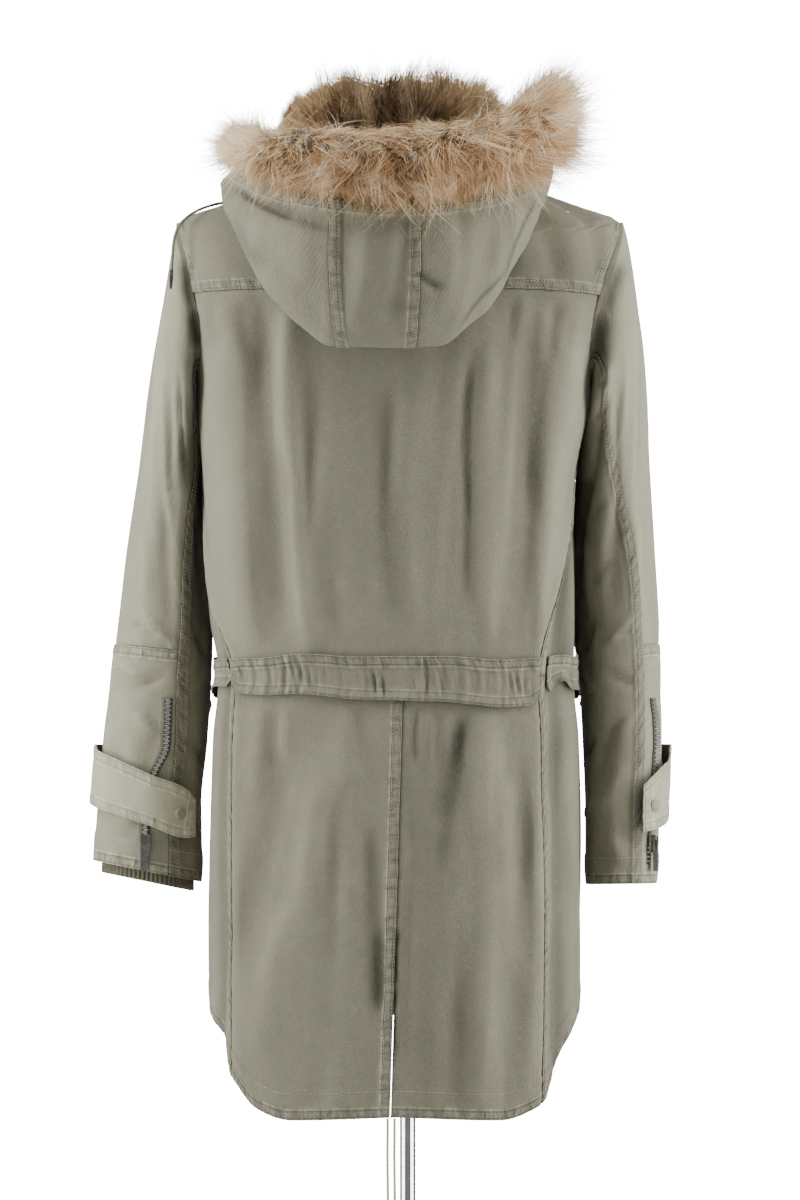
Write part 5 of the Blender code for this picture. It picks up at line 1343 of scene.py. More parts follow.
def front_line(sign, h):
    return sign * FRONT_EDGE + 0 * h


def skirts():
    for sign, side in SIDES:
        a, v = skirt_grid(HEM_LOW, partial(vent_line, sign), partial(side_line, sign, side, -1), sign)
        kinds = {"low": "hem", "left": "under", "right": "fell" if sign < 0 else "under"}
        PIECES[f"skirt_{side}"] = cloth(f"skirt_{side}_cloth", f"back_skirt_{side}", body, a, v, kinds)
        inner, outer = partial(side_line, sign, side, 1), partial(front_line, sign)
        a, v = skirt_grid(HEM_FRONT, inner, outer, sign, 0.0060)
        kinds = {"low": "hem", **front_kinds(sign)}
        cloth(f"front_skirt_{side}_cloth", f"front_skirt_{side}", body, a, v, kinds)


def front_kinds(sign):
    """A front panel's edges: sewn at the side and turned in at the middle."""
    return {"left": "fell", "right": "turned"} if sign > 0 else {"right": "fell", "left": "turned"}


def fronts():
    for sign, side in SIDES:
        h = rows_between(WAIST_H + HALF_GAP, NECK_H, 0.0060, False, False, (UNDERARM_H, TIP_H))
        seam = smooth(SIDE_SEAM, "h", side, h)
        start = np.where(h >= UNDERARM_H - 1e-9, 90 + np.where(h <= TIP_H, arm_reach(h), 0), seam) + GAP_ANGLE
        end = np.full(len(h), FRONT_EDGE)
        left, right = (start, end) if sign > 0 else (-end, -start)
        a, v = body_grid(h, left, right, 0.0058)
        cloth(f"front_{side}_cloth", f"front_upper_{side}", body, a, v, front_kinds(sign))


def placket():
    h = np.linspace(HEM_FRONT + 0.001, PLACKET_TOP, 200)
    u = spaced(0.046, 0.0045)
    a = np.repeat((PLACKET_ANGLES[0] + (PLACKET_ANGLES[1] - PLACKET_ANGLES[0]) * u)[None], len(h), 0)
    v = np.repeat(h[:, None], len(u), 1)
    kinds = {"left": "turned", "right": "turned", "low": "turned"}
    cloth("placket_cloth", "front_placket", body, a, v, kinds, out=2 * GAP + WALL, look=COTTON_TRIM,
          creased=False)


def gathers(seed, strong):
    """Upright gathers of the drawn casing, stronger in some stretches."""
    def height(points, across, along, away):
        x = project(points)[0]
        here = np.zeros(x.shape)
        for centre, wide, most in strong:
            here += most * np.exp(-(((x - centre) / wide) ** 2))
        back = ease(0.0, 0.3, -away[..., 1])
        here = np.clip(here * back + 0.45 * (1 - back) + 0.24, 0, 1)
        waves = uneven(across, seed, 620.0) + 0.6 * uneven(across + along * 0.25, seed + 1, 1150.0)
        v = along / along[-1:]
        body_of_it = np.sin(np.clip(v * 0.86 + 0.10, 0, 1) * math.pi) ** 0.7
        lip = 0.0030 * (1 - ease(0.0, 0.30, v)) * (0.8 + 0.3 * uneven(across, seed + 5, 60.0))
        stitch = -0.0008 * np.exp(-(((along[-1:] - along - 0.0045) / 0.0012) ** 2))
        return 0.0025 * here * waves * body_of_it + lip + stitch
    return height


# The waving lower edge of the casing in the picture, with the kink at its right end.
CASING_EDGE = table(
    "x rise",
    (208, 16), (233, 15), (239, 7), (300, 2), (374, -1), (495, -5), (528, -5), (540, 2), (551, 13), (562, 17),
    (567, 9), (574, 9), (586, 9),
)


PIXEL = 0.00095  # metres to a pixel of the picture
CASING_ROWS = 18
CASING_THICK = 0.0016
CASING_OUT = 2 * GAP + 0.0024


def casing_drop(base):
    """How far each point of the casing moves up or down, most at its lower edge."""
    x = project(base)[0]
    share = np.linspace(1, 0, len(base))[:, None]
    front = ease(-0.02, 0.04, base[..., 1])
    edge = np.interp(x, CASING_EDGE["x"], CASING_EDGE["rise"]) * PIXEL * (1 - front)
    top = 0.0016 * np.sin(x * 0.021 + 0.6) + 0.0012 * np.sin(x * 0.047)
    return edge * share**1.3 + top * (1 - front)


def casings():
    strong = ((292, 20, 0.55), (380, 9, 1.0), (425, 15, 0.9), (248, 10, 0.4), (470, 14, 0.3), (515, 14, 0.6))
    h = np.linspace(CASING_LOW + 0.0008, CASING_HIGH - 0.0006, CASING_ROWS)
    gathered = partial(cloth, out=CASING_OUT, thick=CASING_THICK, creased=False)
    left = -smooth(SIDE_SEAM, "h", "left", h) + GAP_ANGLE
    right = smooth(SIDE_SEAM, "h", "right", h) - GAP_ANGLE
    a, v = body_grid(h, left, right, 0.0020)
    drop = casing_drop(body(a, v)) - 0.0012 * uneven(a, 4, 0.16)
    kinds = {"high": "stitched", "low": "lip"}
    gathered("casing_back_cloth", "waist_casing_back", body, a, v + drop, kinds, extra=gathers(11, strong))
    kinds = {**kinds, "left": "under", "right": "under"}
    for sign, side in SIDES:
        start = smooth(SIDE_SEAM, "h", side, h) + 4.2
        end = np.full(len(h), FRONT_EDGE - 15.6)
        first, last = (start, end) if sign > 0 else (-end, -start)
        a, v = body_grid(h, first, last, 0.0022)
        drop = casing_drop(body(a, v)) - 0.0010 * uneven(a, 8, 0.16)
        gathered(f"casing_{side}_cloth", f"waist_casing_{side}", body, a, v + drop, kinds,
                 extra=gathers(23, ()))


CUFF_TILT = {"left": -0.16, "right": -0.03}  # how far the cuff's edge drops, for each metre across
CUFF_DROP = {"left": 0.001, "right": 0.0075}


def sleeve_surface(side):
    def surface(a, v, out=0.0):
        points = sleeve(side, a, v, out)
        low = ease(0.925, 1.0, v)
        middle = float(sleeve_middle(side, np.array(0.985))[0])
        points[..., 2] += low * (CUFF_TILT[side] * (points[..., 0] - middle) - CUFF_DROP[side])
        return points
    return surface


SLEEVE_AROUND = 0.058  # mean radius
SLEEVE_LONG = 0.62
WRINKLE_SWING = {"left": 0.0, "right": 4.0}


def crossing_wrinkles(side, a, v):
    """Height of the wrinkles of the table at each point of a sleeve's grid."""
    x, y = np.radians(a) * SLEEVE_AROUND, v * SLEEVE_LONG
    total = np.zeros(x.shape)
    for a0, v0, a1, v1, wide, rise in zip(*WRINKLES.values()):
        for turn in (0, 360):
            x0, x1 = (math.radians(k + turn + WRINKLE_SWING[side]) * SLEEVE_AROUND for k in (a0, a1))
            far, share = along_line(x, y, x0, v0 * SLEEVE_LONG, x1, v1 * SLEEVE_LONG)
            total += rise * MM * share * np.exp(-((far / (wide * MM)) ** 2))
    return total


def wrinkles(side, a, v):
    def height(points, across, along, away):
        total = crossing_wrinkles(side, a, v)
        path = smooth(ZIP_PATH[side], "z", "angle", points[..., 2])
        beside = np.exp(-(((a - path) / 11.0) ** 4)) * (1 - ease(0.915, 0.935, points[..., 2]))
        total = total * (1 - beside) * SLEEVE_DEPTH
        inner = away[..., 0] * (1 if side == "left" else -1)
        total = total + drawn(SLEEVE_CREASES, points, away) * (1 - 0.8 * beside)
        total = total + underarm(points, inner, 0.45, 0.95, SLEEVE_BULGE)
        return total + drape(points, 9) * 0.7 * (1 - beside)
    return height


def sleeve_rows():
    """Rows of the upper, the lower and the under sleeve."""
    top = spaced(0.40, 0.0052) * (ELBOW - 0.0005)
    low = ELBOW + (1 - ELBOW) * spaced(0.215, 0.0050)
    low = np.unique(np.round(np.concatenate([low, 1 - np.array(SLEEVE_HEM) / SLEEVE_LONG]), 6))
    return top, low, np.unique(np.concatenate([top[:-1], low]))


SLEEVE_HEM = (0.022, 0.0255, 0.0285)  # rows beside the hem's stitching, from the edge


def sleeves():
    top, low, under = sleeve_rows()
    for _, side in SIDES:
        surface = sleeve_surface(side)
        jobs = (
            ("sleeve_upper", "sleeve_outer_upper", top, seam_front(top), seam_back(side, top), 0.20,
             COTTON_SLEEVE_PAINTED_LIGHT, ALL_UNDER),
            ("sleeve_lower", "sleeve_outer_lower", low, seam_front(low), seam_back(side, low), 0.20,
             COTTON_SLEEVE_PAINTED_LIGHT, {**ALL_UNDER, "low": "fell", "high": "hem"}),
            ("sleeve_under", "sleeve_under", under, seam_back(side, under), seam_front(under) + 360, 0.13,
             COTTON_SHADY, {"low": "under", "high": "hem", "left": "fell", "right": "fell"}),
        )
        for name, node, v, start, end, wide, look, kinds in jobs:
            room = SEAM_ANGLE * (2.0 - 0.8 * ease(0.2, 0.4, v))
            u = spaced(wide, 0.0052)
            a = (start + room)[:, None] * (1 - u) + (end - room)[:, None] * u
            rows = np.repeat(v[:, None], len(u), 1)
            PIECES[f"{name}_{side}"] = cloth(
                f"{name}_{side}_cloth", f"{node}_{side}", surface, a, rows, kinds, look=look,
                extra=wrinkles(side, a, rows), creased=False)


def hood_surface(a, v, out=0.0):
    return hood(a, v) + hood_away(a, v) * np.asarray(out)[..., None]


def hoods():
    stretches = ((0, 1.5, 13), (1.5, 4.0, 66), (4.0, HOOD_EDGE, 23))
    rows = np.unique(np.concatenate([np.linspace(*stretch) for stretch in stretches]))
    jobs = (
        ("left", -HOOD_FRONT, HOOD_SEAMS[0] - GAP_ANGLE, 0.34, {"right": "under"}),
        ("centre", HOOD_SEAMS[0] + GAP_ANGLE, HOOD_SEAMS[1] - GAP_ANGLE, 0.085,
         {"left": "fell", "right": "fell"}),
        ("right", HOOD_SEAMS[1] + GAP_ANGLE, HOOD_FRONT, 0.34, {"left": "under"}),
    )
    for side, start, end, wide, kinds in jobs:
        u = spaced(wide, 0.0039)
        a, v = np.meshgrid(start + (end - start) * u, rows)
        kinds = {**kinds, "high": "stitched"}
        PIECES[f"hood_{side}"] = cloth(f"hood_{side}_cloth", f"hood_{side}", hood_surface, a, v, kinds)


yoke()
upper_back()
skirts()
fronts()
placket()
casings()
sleeves()
hoods()

# Straps, zips, knit cuffs and sewing
STITCHES = []  # (place, way, up) of each stitch
STITCH_PITCH = 0.0034
STITCH_LIFT = 0.0001
THREAD_HALF = (0.00125, 0.00032, 0.00030)  # half length, half width and height of a stitch
# Distances of the other stitch rows from an edge.
HEM_ROW = (0.0252,)
BAND_ROW = (0.0082,)
ARMHOLE_ROWS = (0.0022, 0.0075)
STRAP_ROWS = (0.0022, 0.0078)
SLEEVE_ENDS = ("sleeve_lower_left", "sleeve_lower_right", "sleeve_under_left", "sleeve_under_right")


def stitch_row(grid, away, edge, distance):
    """Stitches along one edge of a grid, a distance in from it."""
    if edge in ("left", "right"):
        far = arcs(grid, 1)
        far = far if edge == "left" else far[:, -1:] - far
        lines, ways = grid, away
    else:
        far = arcs(grid, 0)
        far = (far if edge == "low" else far[-1:] - far).T
        lines, ways = grid.transpose(1, 0, 2), away.transpose(1, 0, 2)
    path, up = [], []
    for line, way, reach in zip(lines, ways, far):
        order = np.argsort(reach)
        path.append(at_run(reach[order], line[order], distance))
        up.append(at_run(reach[order], way[order], distance))
    stitch_path(np.array(path), unit(np.array(up)))


def stitch_path(path, up):
    run = run_of(path)
    if run[-1] < 2 * STITCH_PITCH:
        return
    at = np.arange(STITCH_PITCH * 0.5, run[-1], STITCH_PITCH)
    centre = at_run(run, path, at)
    high = unit(at_run(run, up, at))
    way = unit(at_run(run, path, at + STITCH_PITCH * 0.4) - centre)
    STITCHES.extend(zip(centre + high * STITCH_LIFT, way, high))


def sew():
    """All stitches as one mesh of small rounded lengths of thread."""
    c, w, u = (np.array([s[k] for s in STITCHES]) for k in range(3))
    side = unit(np.cross(w, u))
    half, wide, high = THREAD_HALF
    ring = []
    for x, k in ((-1.0, 0.25), (-0.6, 1.0), (0.6, 1.0), (1.0, 0.25)):
        for sx, sy in ((-1, -0.3), (0, 1), (1, -0.3)):
            ring.append(c + w * half * x + side * wide * sx * k + u * high * sy * k)
    base = np.arange(len(c))[:, None, None] * len(ring)
    quads = [[k, k + 1, k + 4, k + 3] for k in (0, 1, 3, 4, 6, 7)]
    quads = (base + np.array(quads)[None]).reshape(-1, 4)
    piece_mesh("stitching", np.stack(ring, 1).reshape(-1, 3), [quads], THREAD, "cotton")


def sew_edges():
    for keys, edges, distances in (
        (("yoke",), ("low",), STITCH_LINES), (("skirt_left",), ("right",), STITCH_LINES),
        (("sleeve_under_left", "sleeve_under_right"), ("left", "right"), STITCH_LINES),
        (("sleeve_lower_left", "sleeve_lower_right"), ("low",), STITCH_LINES),
        (("hood_centre",), ("left", "right"), STITCH_LINES),
        (("skirt_left", "skirt_right"), ("low",), HEM_ROW),
        (SLEEVE_ENDS, ("high",), HEM_ROW), (("hood_left", "hood_centre", "hood_right"), ("high",), BAND_ROW),
        (("yoke",), ("left", "right"), ARMHOLE_ROWS),
    ):
        for key in keys:
            for edge in edges:
                for distance in distances:
                    stitch_row(*PIECES[key], edge, distance)


STRAP_LONG = {"left": 0.185, "right": 0.160}
STRAP_WIDE = 0.046
STRAP_STEP = 0.0030


def strap(side):
    """The cuff strap: a stitched tab round the back of the sleeve, held by its snap."""
    t = STRAP[side]
    u = spaced(STRAP_LONG[side], STRAP_STEP)
    share = spaced(STRAP_WIDE, STRAP_STEP)
    angle = t["angle"][0] + (t["angle"][-1] - t["angle"][0]) * u
    low, high, off = (smooth(t, "angle", key, angle) for key in ("low", "high", "off"))
    z = low[None, :] * (1 - share[:, None]) + high[None, :] * share[:, None]
    a = np.repeat(angle[None, :], len(share), 0)
    v = v_at(side, a, z)
    bow = 0.0012 * np.sin(np.pi * share)[:, None] * (0.5 + 0.5 * uneven(a, 5, 0.08))
    kinds = dict.fromkeys(EDGES, "turned")
    made = cloth(f"strap_{side}_cloth", f"cuff_strap_{side}", partial(sleeve, side), a, v, kinds,
                 STRAP_WALL, COTTON_STRAP_PAINTED_LIGHT, off[None] + STRAP_WALL + bow, creased=False)
    for edge in EDGES:
        for distance in STRAP_ROWS:
            stitch_row(*made, edge, distance)


CUFF_R = 0.050  # of the sleeve where the zip is
DEGREES = 57.3  # to a radian
ZIP_Z = (0.746, 0.904)
ZIP_ROWS = 90
ZIP_COLUMNS = np.linspace(-1, 1, 9)
TOOTH_PITCH = 0.0021
TOOTH = (0.0021, 0.00066, 0.0006)  # half sizes across the tape, along it and out of it
TOOTH_SHIFT = 0.0006
BOX_FACES = np.array([(0, 1, 3, 2), (4, 6, 7, 5), (0, 4, 5, 1), (2, 3, 7, 6), (0, 2, 6, 4), (1, 5, 7, 3)])


def zip_tape(side, at, v):
    a = at[:, None] + ZIP_COLUMNS[None, :] * (DEGREES * ZIP_WIDTH / 2 / CUFF_R)
    rows = np.repeat(v[:, None], len(ZIP_COLUMNS), 1)
    lift = 0.0009 - 0.0005 * np.abs(ZIP_COLUMNS) ** 3
    outer, inner = (sleeve(side, a, rows, 2 * GAP + out) for out in (lift[None, :], -0.0002))
    points, faces = wall(outer, inner)
    if side == "right":
        faces = [f[:, ::-1] for f in faces]
    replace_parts(piece_mesh(f"zip_tape_{side}", points, faces, TAPE, "zip"), f"zip_{side}")


def zip_teeth(side, at, v, up):
    """Two rows of teeth, closed above the slider and apart below it."""
    centre = sleeve(side, at, v, 2 * GAP + 0.0011)
    across = unit(sleeve(side, at + 3, v, 0.0) - sleeve(side, at - 3, v, 0.0))
    run = run_of(centre)
    steps = np.arange(0.001, run[-1], TOOTH_PITCH)
    place = at_run(run, centre, steps)
    wide, high = (unit(at_run(run, ways, steps)) for ways in (across, up))
    way = unit(np.cross(wide, high))
    shift = np.where(np.arange(len(steps)) % 2, 1.0, -1.0)[:, None] * TOOTH_SHIFT
    closed = (place[:, 2] > SLIDER_Z)[:, None]
    middle = place + wide * np.where(closed, shift, shift * 3.2)
    ends = (-1, 1)
    corners = [
        middle + wide * TOOTH[0] * i + way * TOOTH[1] * j + high * TOOTH[2] * k
        for i in ends for j in ends for k in ends
    ]
    quads = (np.arange(len(steps))[:, None, None] * len(corners) + BOX_FACES[None]).reshape(-1, 4)
    points = np.stack(corners, 1).reshape(-1, 3)
    piece_mesh(f"zip_teeth_{side}", points, [quads], TEETH, "dark_metal", smooth=False)


def zip_piece(side):
    """The cuff zip: woven tape with two rows of teeth, sewn in along both edges."""
    z = np.linspace(*ZIP_Z, ZIP_ROWS)
    at = smooth(ZIP_PATH[side], "z", "angle", z)
    v = v_at(side, at, z)
    up = unit(sleeve(side, at, v, 0.002) - sleeve(side, at, v, 0.0))
    zip_tape(side, at, v)
    zip_teeth(side, at, v, up)
    edge = DEGREES * (ZIP_WIDTH / 2 + 0.0022) / CUFF_R
    for sign in (-1, 1):
        stitch_path(sleeve(side, at + sign * edge, v, 0.0002), up)


RIB_INSET = 0.0078
RIB_TOP = 0.93
RIBS = 64
RIB_POINTS = 6  # round each rib
RIB_DEEP = 0.0012
RIB_WALL = 0.0016
LEVEL = np.array([1, 1, 0])
RIB_DROP = {"left": 0.011, "right": -0.004}
RIB_TILT = {"left": -0.17, "right": 0.0}


def knit_cuff(side):
    """The inner cuff: many fine ribs that run down into the wrist opening."""
    count = RIBS * RIB_POINTS
    wave = 0.5 + 0.5 * np.cos(np.arange(count) * 2 * np.pi / RIB_POINTS)
    angle = np.linspace(0, 360, count, endpoint=False)
    z0 = float(SLEEVE[side]["out_z"][-1] + SLEEVE[side]["in_z"][-1]) / 2
    rows = []
    for level, v, inset in (
        (None, RIB_TOP, WALL + 0.0020), (0.034, 0.945, RIB_INSET), (0.020, 0.96, RIB_INSET + 0.0002),
        (0.006, 0.975, RIB_INSET + 0.0003), (-RIB_DROP[side] + 0.0016, 0.985, RIB_INSET),
        (-RIB_DROP[side], 0.985, RIB_INSET + 0.0008),
    ):
        ring = sleeve(side, angle, np.full(count, v))
        middle = sleeve_middle(side, np.array(v))
        way = unit((ring - middle) * LEVEL)
        if level is not None:
            ring[:, 2] = z0 + level + RIB_TILT[side] * (ring[:, 0] - middle[0])
        rows.append(ring - way * (inset - RIB_DEEP * wave)[:, None])
    outer = np.array(rows)
    middle = outer.mean(axis=1, keepdims=True)
    inner = outer - unit((outer - middle) * LEVEL) * RIB_WALL
    made = piece_mesh(f"knit_cuff_{side}", *wall(outer, inner, True), RIB, "rib_knit")
    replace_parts(made, f"inner_cuff_{side}")
    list(cut(outer))


ARMHOLE_POINTS = 180
TAPE_DEEP = WALL + 0.0009


def armhole_tape(side):
    """The seam allowance of the armhole, a strip inside that closes the seam to light."""
    sign = -1 if side == "left" else 1
    angle = np.linspace(0, 360, ARMHOLE_POINTS, endpoint=False)
    at, h = armhole_at(sign, np.radians(angle))
    lines = []
    for share, depth in ((-0.075, 0.0030), (-0.01, 0.0034)):
        deep = -np.full(ARMHOLE_POINTS, WALL + depth)
        lines.append(body(at + (sign * 90 - at) * share, h + (ARM_MID - h) * share, deep))
    lines.append(sleeve(side, angle, np.full(ARMHOLE_POINTS, 0.022), -WALL - 0.0012))
    faces = [cells(len(lines), ARMHOLE_POINTS, 0, True)]
    piece_mesh(f"armhole_tape_{side}", np.array(lines).reshape(-1, 3), faces, COTTON_PLAIN, "cotton")


def seam_tape(name, surface, a, v):
    """An inner strip behind a seam, over a grid of angles and rows."""
    piece_mesh(name, surface(a, v, -TAPE_DEEP).reshape(-1, 3), [cells(*a.shape)], COTTON_PLAIN, "cotton")


def sleeve_tapes(side):
    surface = sleeve_surface(side)
    v = np.linspace(0.012, 0.985, 120)[:, None]
    across = np.array([[-7.0, 0.0, 7.0]])
    for name, middle in (("back", seam_back(side, v)), ("front", seam_front(v))):
        seam_tape(f"sleeve_tape_{name}_{side}", surface, middle + across, v + 0 * across)
    start = float(seam_front(np.array(ELBOW)))
    a = np.linspace(start, float(seam_back(side, np.array(ELBOW))), 60)[None, :]
    rows = ELBOW + np.array([[-0.010], [0.0], [0.010]])
    seam_tape(f"sleeve_tape_elbow_{side}", surface, a + 0 * rows, rows + 0 * a)


def skirt_tape(side):
    sign = -1 if side == "left" else 1
    share = np.linspace(0, 1, 90)[:, None]
    h = HEM_LOW + (WAIST_H - HEM_LOW) * share
    a = sign * smooth(SIDE_SEAM, "h", side, h) + np.array([[-5.0, 0.0, 5.0]])
    low = hem_z(a) + 0.003
    v = low + (WAIST_H - 0.004 - low) * share
    seam_tape(f"skirt_tape_{side}", body, a, v)


sew_edges()
for _, side in SIDES:
    sleeve_tapes(side)
    skirt_tape(side)
    strap(side)
    zip_piece(side)
    knit_cuff(side)
    armhole_tape(side)
sew()

# Fur
HAIR_BACK = -0.2455  # no hair reaches further back
HAIR_TOP = 1.535  # or higher
SHORTEST = 0.002


def held_back(root, way, length):
    """Hair lengths cut so that no tip passes the limits at the back and at the top."""
    for axis, limit, sign in ((1, HAIR_BACK, -1), (2, HAIR_TOP, 1)):
        start, tip = root[:, axis], (root + way * length[:, None])[:, axis]
        beyond = sign * (tip - limit) > 0
        share = sign * (limit - start) / np.maximum(sign * (tip - start), 1e-4)
        length = np.where(beyond, length * share, length)
    return np.maximum(length, SHORTEST)


def strands(name, root, way, length, width, bend, tone, region, look, slot, out, segments=3, seed=1):
    """Hairs as thin tapering ribbons: root point, way out, and where the tip bends to.

    Their shading leans to the fur's own surface, whose outward way is given."""
    rng = np.random.default_rng(seed)
    count = len(root)
    side = unit(np.cross(way, 0.6 * out + unit(rng.normal(size=(count, 3)))))
    side = np.where(np.sum(np.cross(side, way) * out, -1)[:, None] < 0, -side, side)
    length = held_back(root, way + bend, length)
    curl = rng.normal(size=count) * 0.07
    points, marks = [], []
    for i in range(segments + 1):
        t = i / segments
        centre = root + way * (length * t)[:, None] + bend * (length * t * t)[:, None]
        centre = centre + side * (length * curl * math.sin(2.6 * t))[:, None]
        mark = np.stack([np.full(count, t), tone, region], -1)
        half = side * (width * (1 - 0.75 * t) / 2)[:, None]
        points += [centre - half, centre + half] if i < segments else [centre]
        marks += [mark, mark] if i < segments else [mark]
    per = 2 * segments + 1
    base = np.arange(count)[:, None, None] * per
    quads = np.array([[2 * i, 2 * i + 1, 2 * i + 3, 2 * i + 2] for i in range(segments - 1)]).reshape(-1, 4)
    last = 2 * (segments - 1)
    ends = np.array([[last, last + 1, last + 2]])
    faces = [(base + ends[None]).reshape(-1, 3)]
    if segments > 1:
        faces.insert(0, (base + quads[None]).reshape(-1, 4))
    made = piece_mesh(name, np.stack(points, 1).reshape(-1, 3), faces, look, slot,
                      attributes={"strand": np.stack(marks, 1).reshape(-1, 3)})
    shade = unit(0.75 * out + 0.5 * np.cross(side, way))
    made.data.normals_split_custom_set_from_vertices(np.repeat(shade, per, 0).tolist())
    return made


LONGEST = 0.052
RUFF_STEPS, RUFF_TURNS = 150, 26
TUFTS = 4096
GUARD_SEED = 4
# Hair of the ruff: piece, count, least and most share of the roll's radius, width, segments, seed.
RUFF_HAIR = (
    ("ruff_underfur", 40000, 0.74, 0.98, 0.00080, 2, 3),
    ("ruff_guard_hair", 27000, 0.88, 1.16, 0.00058, 4, GUARD_SEED),
)
LINING_GRID = (64, 56)
LINING_HAIRS = 56000
LINING_TUFTS = 2048
LINING_HAIR_WIDE = 0.00075


def ruff_point(angle, turn, share):
    """A point of the ruff's roll: angle round the opening, turn round the roll, share of its radius."""
    r0, z0, deep, high = (smooth(RUFF, "angle", k, angle) for k in ("r", "z", "deep", "high"))
    r = r0 + deep * np.cos(turn) * share
    z = z0 + high * np.sin(turn) * share
    t = np.radians(angle)
    x = CX + HOOD_SHIFT + r * np.sin(t) * (1 - HOOD_NARROW)
    return np.stack([x, -r * np.cos(t), z], axis=-1)


def swirl(angle, turn, seed, fine):
    """An uneven field over the roll, for tufts that lean the same way."""
    rng = np.random.default_rng(seed)
    total = np.zeros(np.shape(angle))
    for _ in range(6):
        a, t = rng.uniform(0.04, 0.16) * fine, rng.integers(1, 4)
        total = total + np.sin(angle * a * 3 + turn * t * rng.choice((-1, 1)) + rng.uniform(0, 6.28))
    return total / 2.6


def left_end_share(angle):
    return ease(-26, -72, angle)


def ruff_backing():
    turns = 2 * np.pi * np.arange(RUFF_TURNS) / RUFF_TURNS
    a, t = np.meshgrid(np.linspace(-HOOD_FRONT, HOOD_FRONT, RUFF_STEPS), turns, indexing="ij")
    lumps = (0.56 + 0.07 * swirl(a, t, 2, 1.6)) * (1 - 0.35 * left_end_share(a))
    ring = np.arange(RUFF_TURNS)[None]
    faces = [cells(RUFF_STEPS, RUFF_TURNS, 0, True), ring[:, ::-1], ring + (RUFF_STEPS - 1) * RUFF_TURNS]
    core = ruff_point(a, t, lumps).reshape(-1, 3)
    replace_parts(piece_mesh("ruff_backing", core, faces, LINING_CLOTH, "ruff_fur"), "fur_ruff")


def tuft_of(angle, turn, seed):
    """Five random numbers that the hairs of a tuft share."""
    across = np.floor(angle / 2.6 + 0.5 * np.sin(turn * 3)) * 911
    number = across + np.floor(turn * 3.6 + 0.5 * np.sin(angle * 0.5)) * 97
    return np.random.default_rng(seed + 20).normal(size=(TUFTS, 5))[number.astype(int) % TUFTS]


def ruff_ways(angle, turn, own, ends, backward):
    """Where the hair flows to and how its tufts lean."""
    around = unit(ruff_point(angle + 2, turn, 1.0) - ruff_point(angle - 2, turn, 1.0))
    over = unit(ruff_point(angle, turn + 0.1, 1.0) - ruff_point(angle, turn - 0.1, 1.0))
    down = -0.95 * (1 - ends) * backward
    flow = np.stack([0 * down, 0.25 * down, down], -1)
    flow = flow + np.stack([np.sign(angle) * 0.9 * ends, -0.1 * ends, 0.12 * ends], -1)
    lean = around * (1.05 * swirl(angle, turn, 11, 1.0) + 0.75 * own[:, 0])[:, None]
    return flow, lean + over * (0.60 * swirl(angle, turn, 12, 1.3) + 0.55 * own[:, 1])[:, None]


def ruff_region(angle, turn):
    """The place's share of the paler hair: painted light at the ruff's two ends, where the side lamps fall,
    and more on the roll's top and in uneven swirls.
    """
    warm = 0.5 + 0.5 * swirl(angle, turn, 14, 0.8)
    right_end = ease(45, 80, angle)
    top = ease(0.1, 0.9, np.sin(turn)) * (1 - right_end)
    return np.clip(0.30 * warm + 0.40 * top + 1.0 * left_end_share(angle) + 0.42 * right_end, 0, 1)


def ruff_hair(name, count, low, high, wide, segments, seed):
    rng = np.random.default_rng(seed)
    angle = rng.uniform(-HOOD_FRONT - 1, HOOD_FRONT + 1, count)
    thin = rng.random(count) < 0.42 * left_end_share(angle)
    angle = np.where(thin, rng.uniform(-20, 60, count), angle)
    turn = rng.uniform(0, 2 * np.pi, count)
    left_end = left_end_share(angle)
    ends = ease(0.42, 0.85, np.abs(np.sin(np.radians(angle))))
    backward = np.cos(np.radians(angle)) > 0
    start = (0.52 + 0.05 * swirl(angle, turn, 2, 1.6)) * (1 - 0.33 * left_end)
    root, skin = ruff_point(angle, turn, start), ruff_point(angle, turn, 1.0)
    out, reach = unit(skin - root), np.linalg.norm(skin - root, axis=-1)
    own = tuft_of(angle, turn, seed)
    flow, lean = ruff_ways(angle, turn, own, ends, backward)
    way = unit(out + 0.55 * flow + 0.50 * lean + rng.normal(size=(count, 3)) * 0.14)
    along = np.maximum(0.30, np.sum(way * out, -1))
    target = rng.uniform(low, high, count) * (1 + 0.05 * own[:, 2])
    crown = ease(0.15, 0.85, np.sin(turn)) * (1 - ease(30, 62, np.abs(angle))) * backward
    left_top = ease(-0.1, 0.8, np.sin(turn)) * ease(-42, -70, angle)
    target = target * (1 - 0.22 * crown - 0.24 * left_top)
    stray = (rng.random(count) < 0.05 + 0.24 * ends + 0.16 * left_end) & (seed == GUARD_SEED)
    target = np.where(stray, target * rng.uniform(1.08, 1.30 + 0.30 * ends, count), target)
    length = reach / (1 - start) * (target - start) / along
    below = ease(-0.2, -0.9, np.sin(turn)) * (1 - ends) * backward
    hang = (rng.random(count) < 0.035) & (seed == GUARD_SEED)
    length = np.clip(np.where(hang, length * (1 + 0.7 * below), length), 0.006, LONGEST)
    bend = 0.30 * flow + 0.35 * lean + own[:, 2:5] * 0.10 + rng.normal(size=(count, 3)) * 0.05
    # Painted light: the hair at the ruff's two ends, where the side lamps fall, is given a paler tone.
    light = 0.30 * np.maximum(left_end, 0.6 * ease(45, 80, angle))
    tone = np.clip(0.5 + 0.34 * own[:, 3] + rng.normal(size=count) * 0.18 + light, 0, 1)
    tone = np.where(stray | hang, 1.0, tone)
    width = wide * (1 - 0.25 * ends) * rng.uniform(0.7, 1.2, count)
    strands(name, root, way, length, width, bend, tone, ruff_region(angle, turn), RUFF_FUR, "ruff_fur", out,
            segments, seed)


def lining_foot(angle, s):
    return hood(angle, s) - hood_away(angle, s) * (WALL + LINING_GAP + 0.0030)


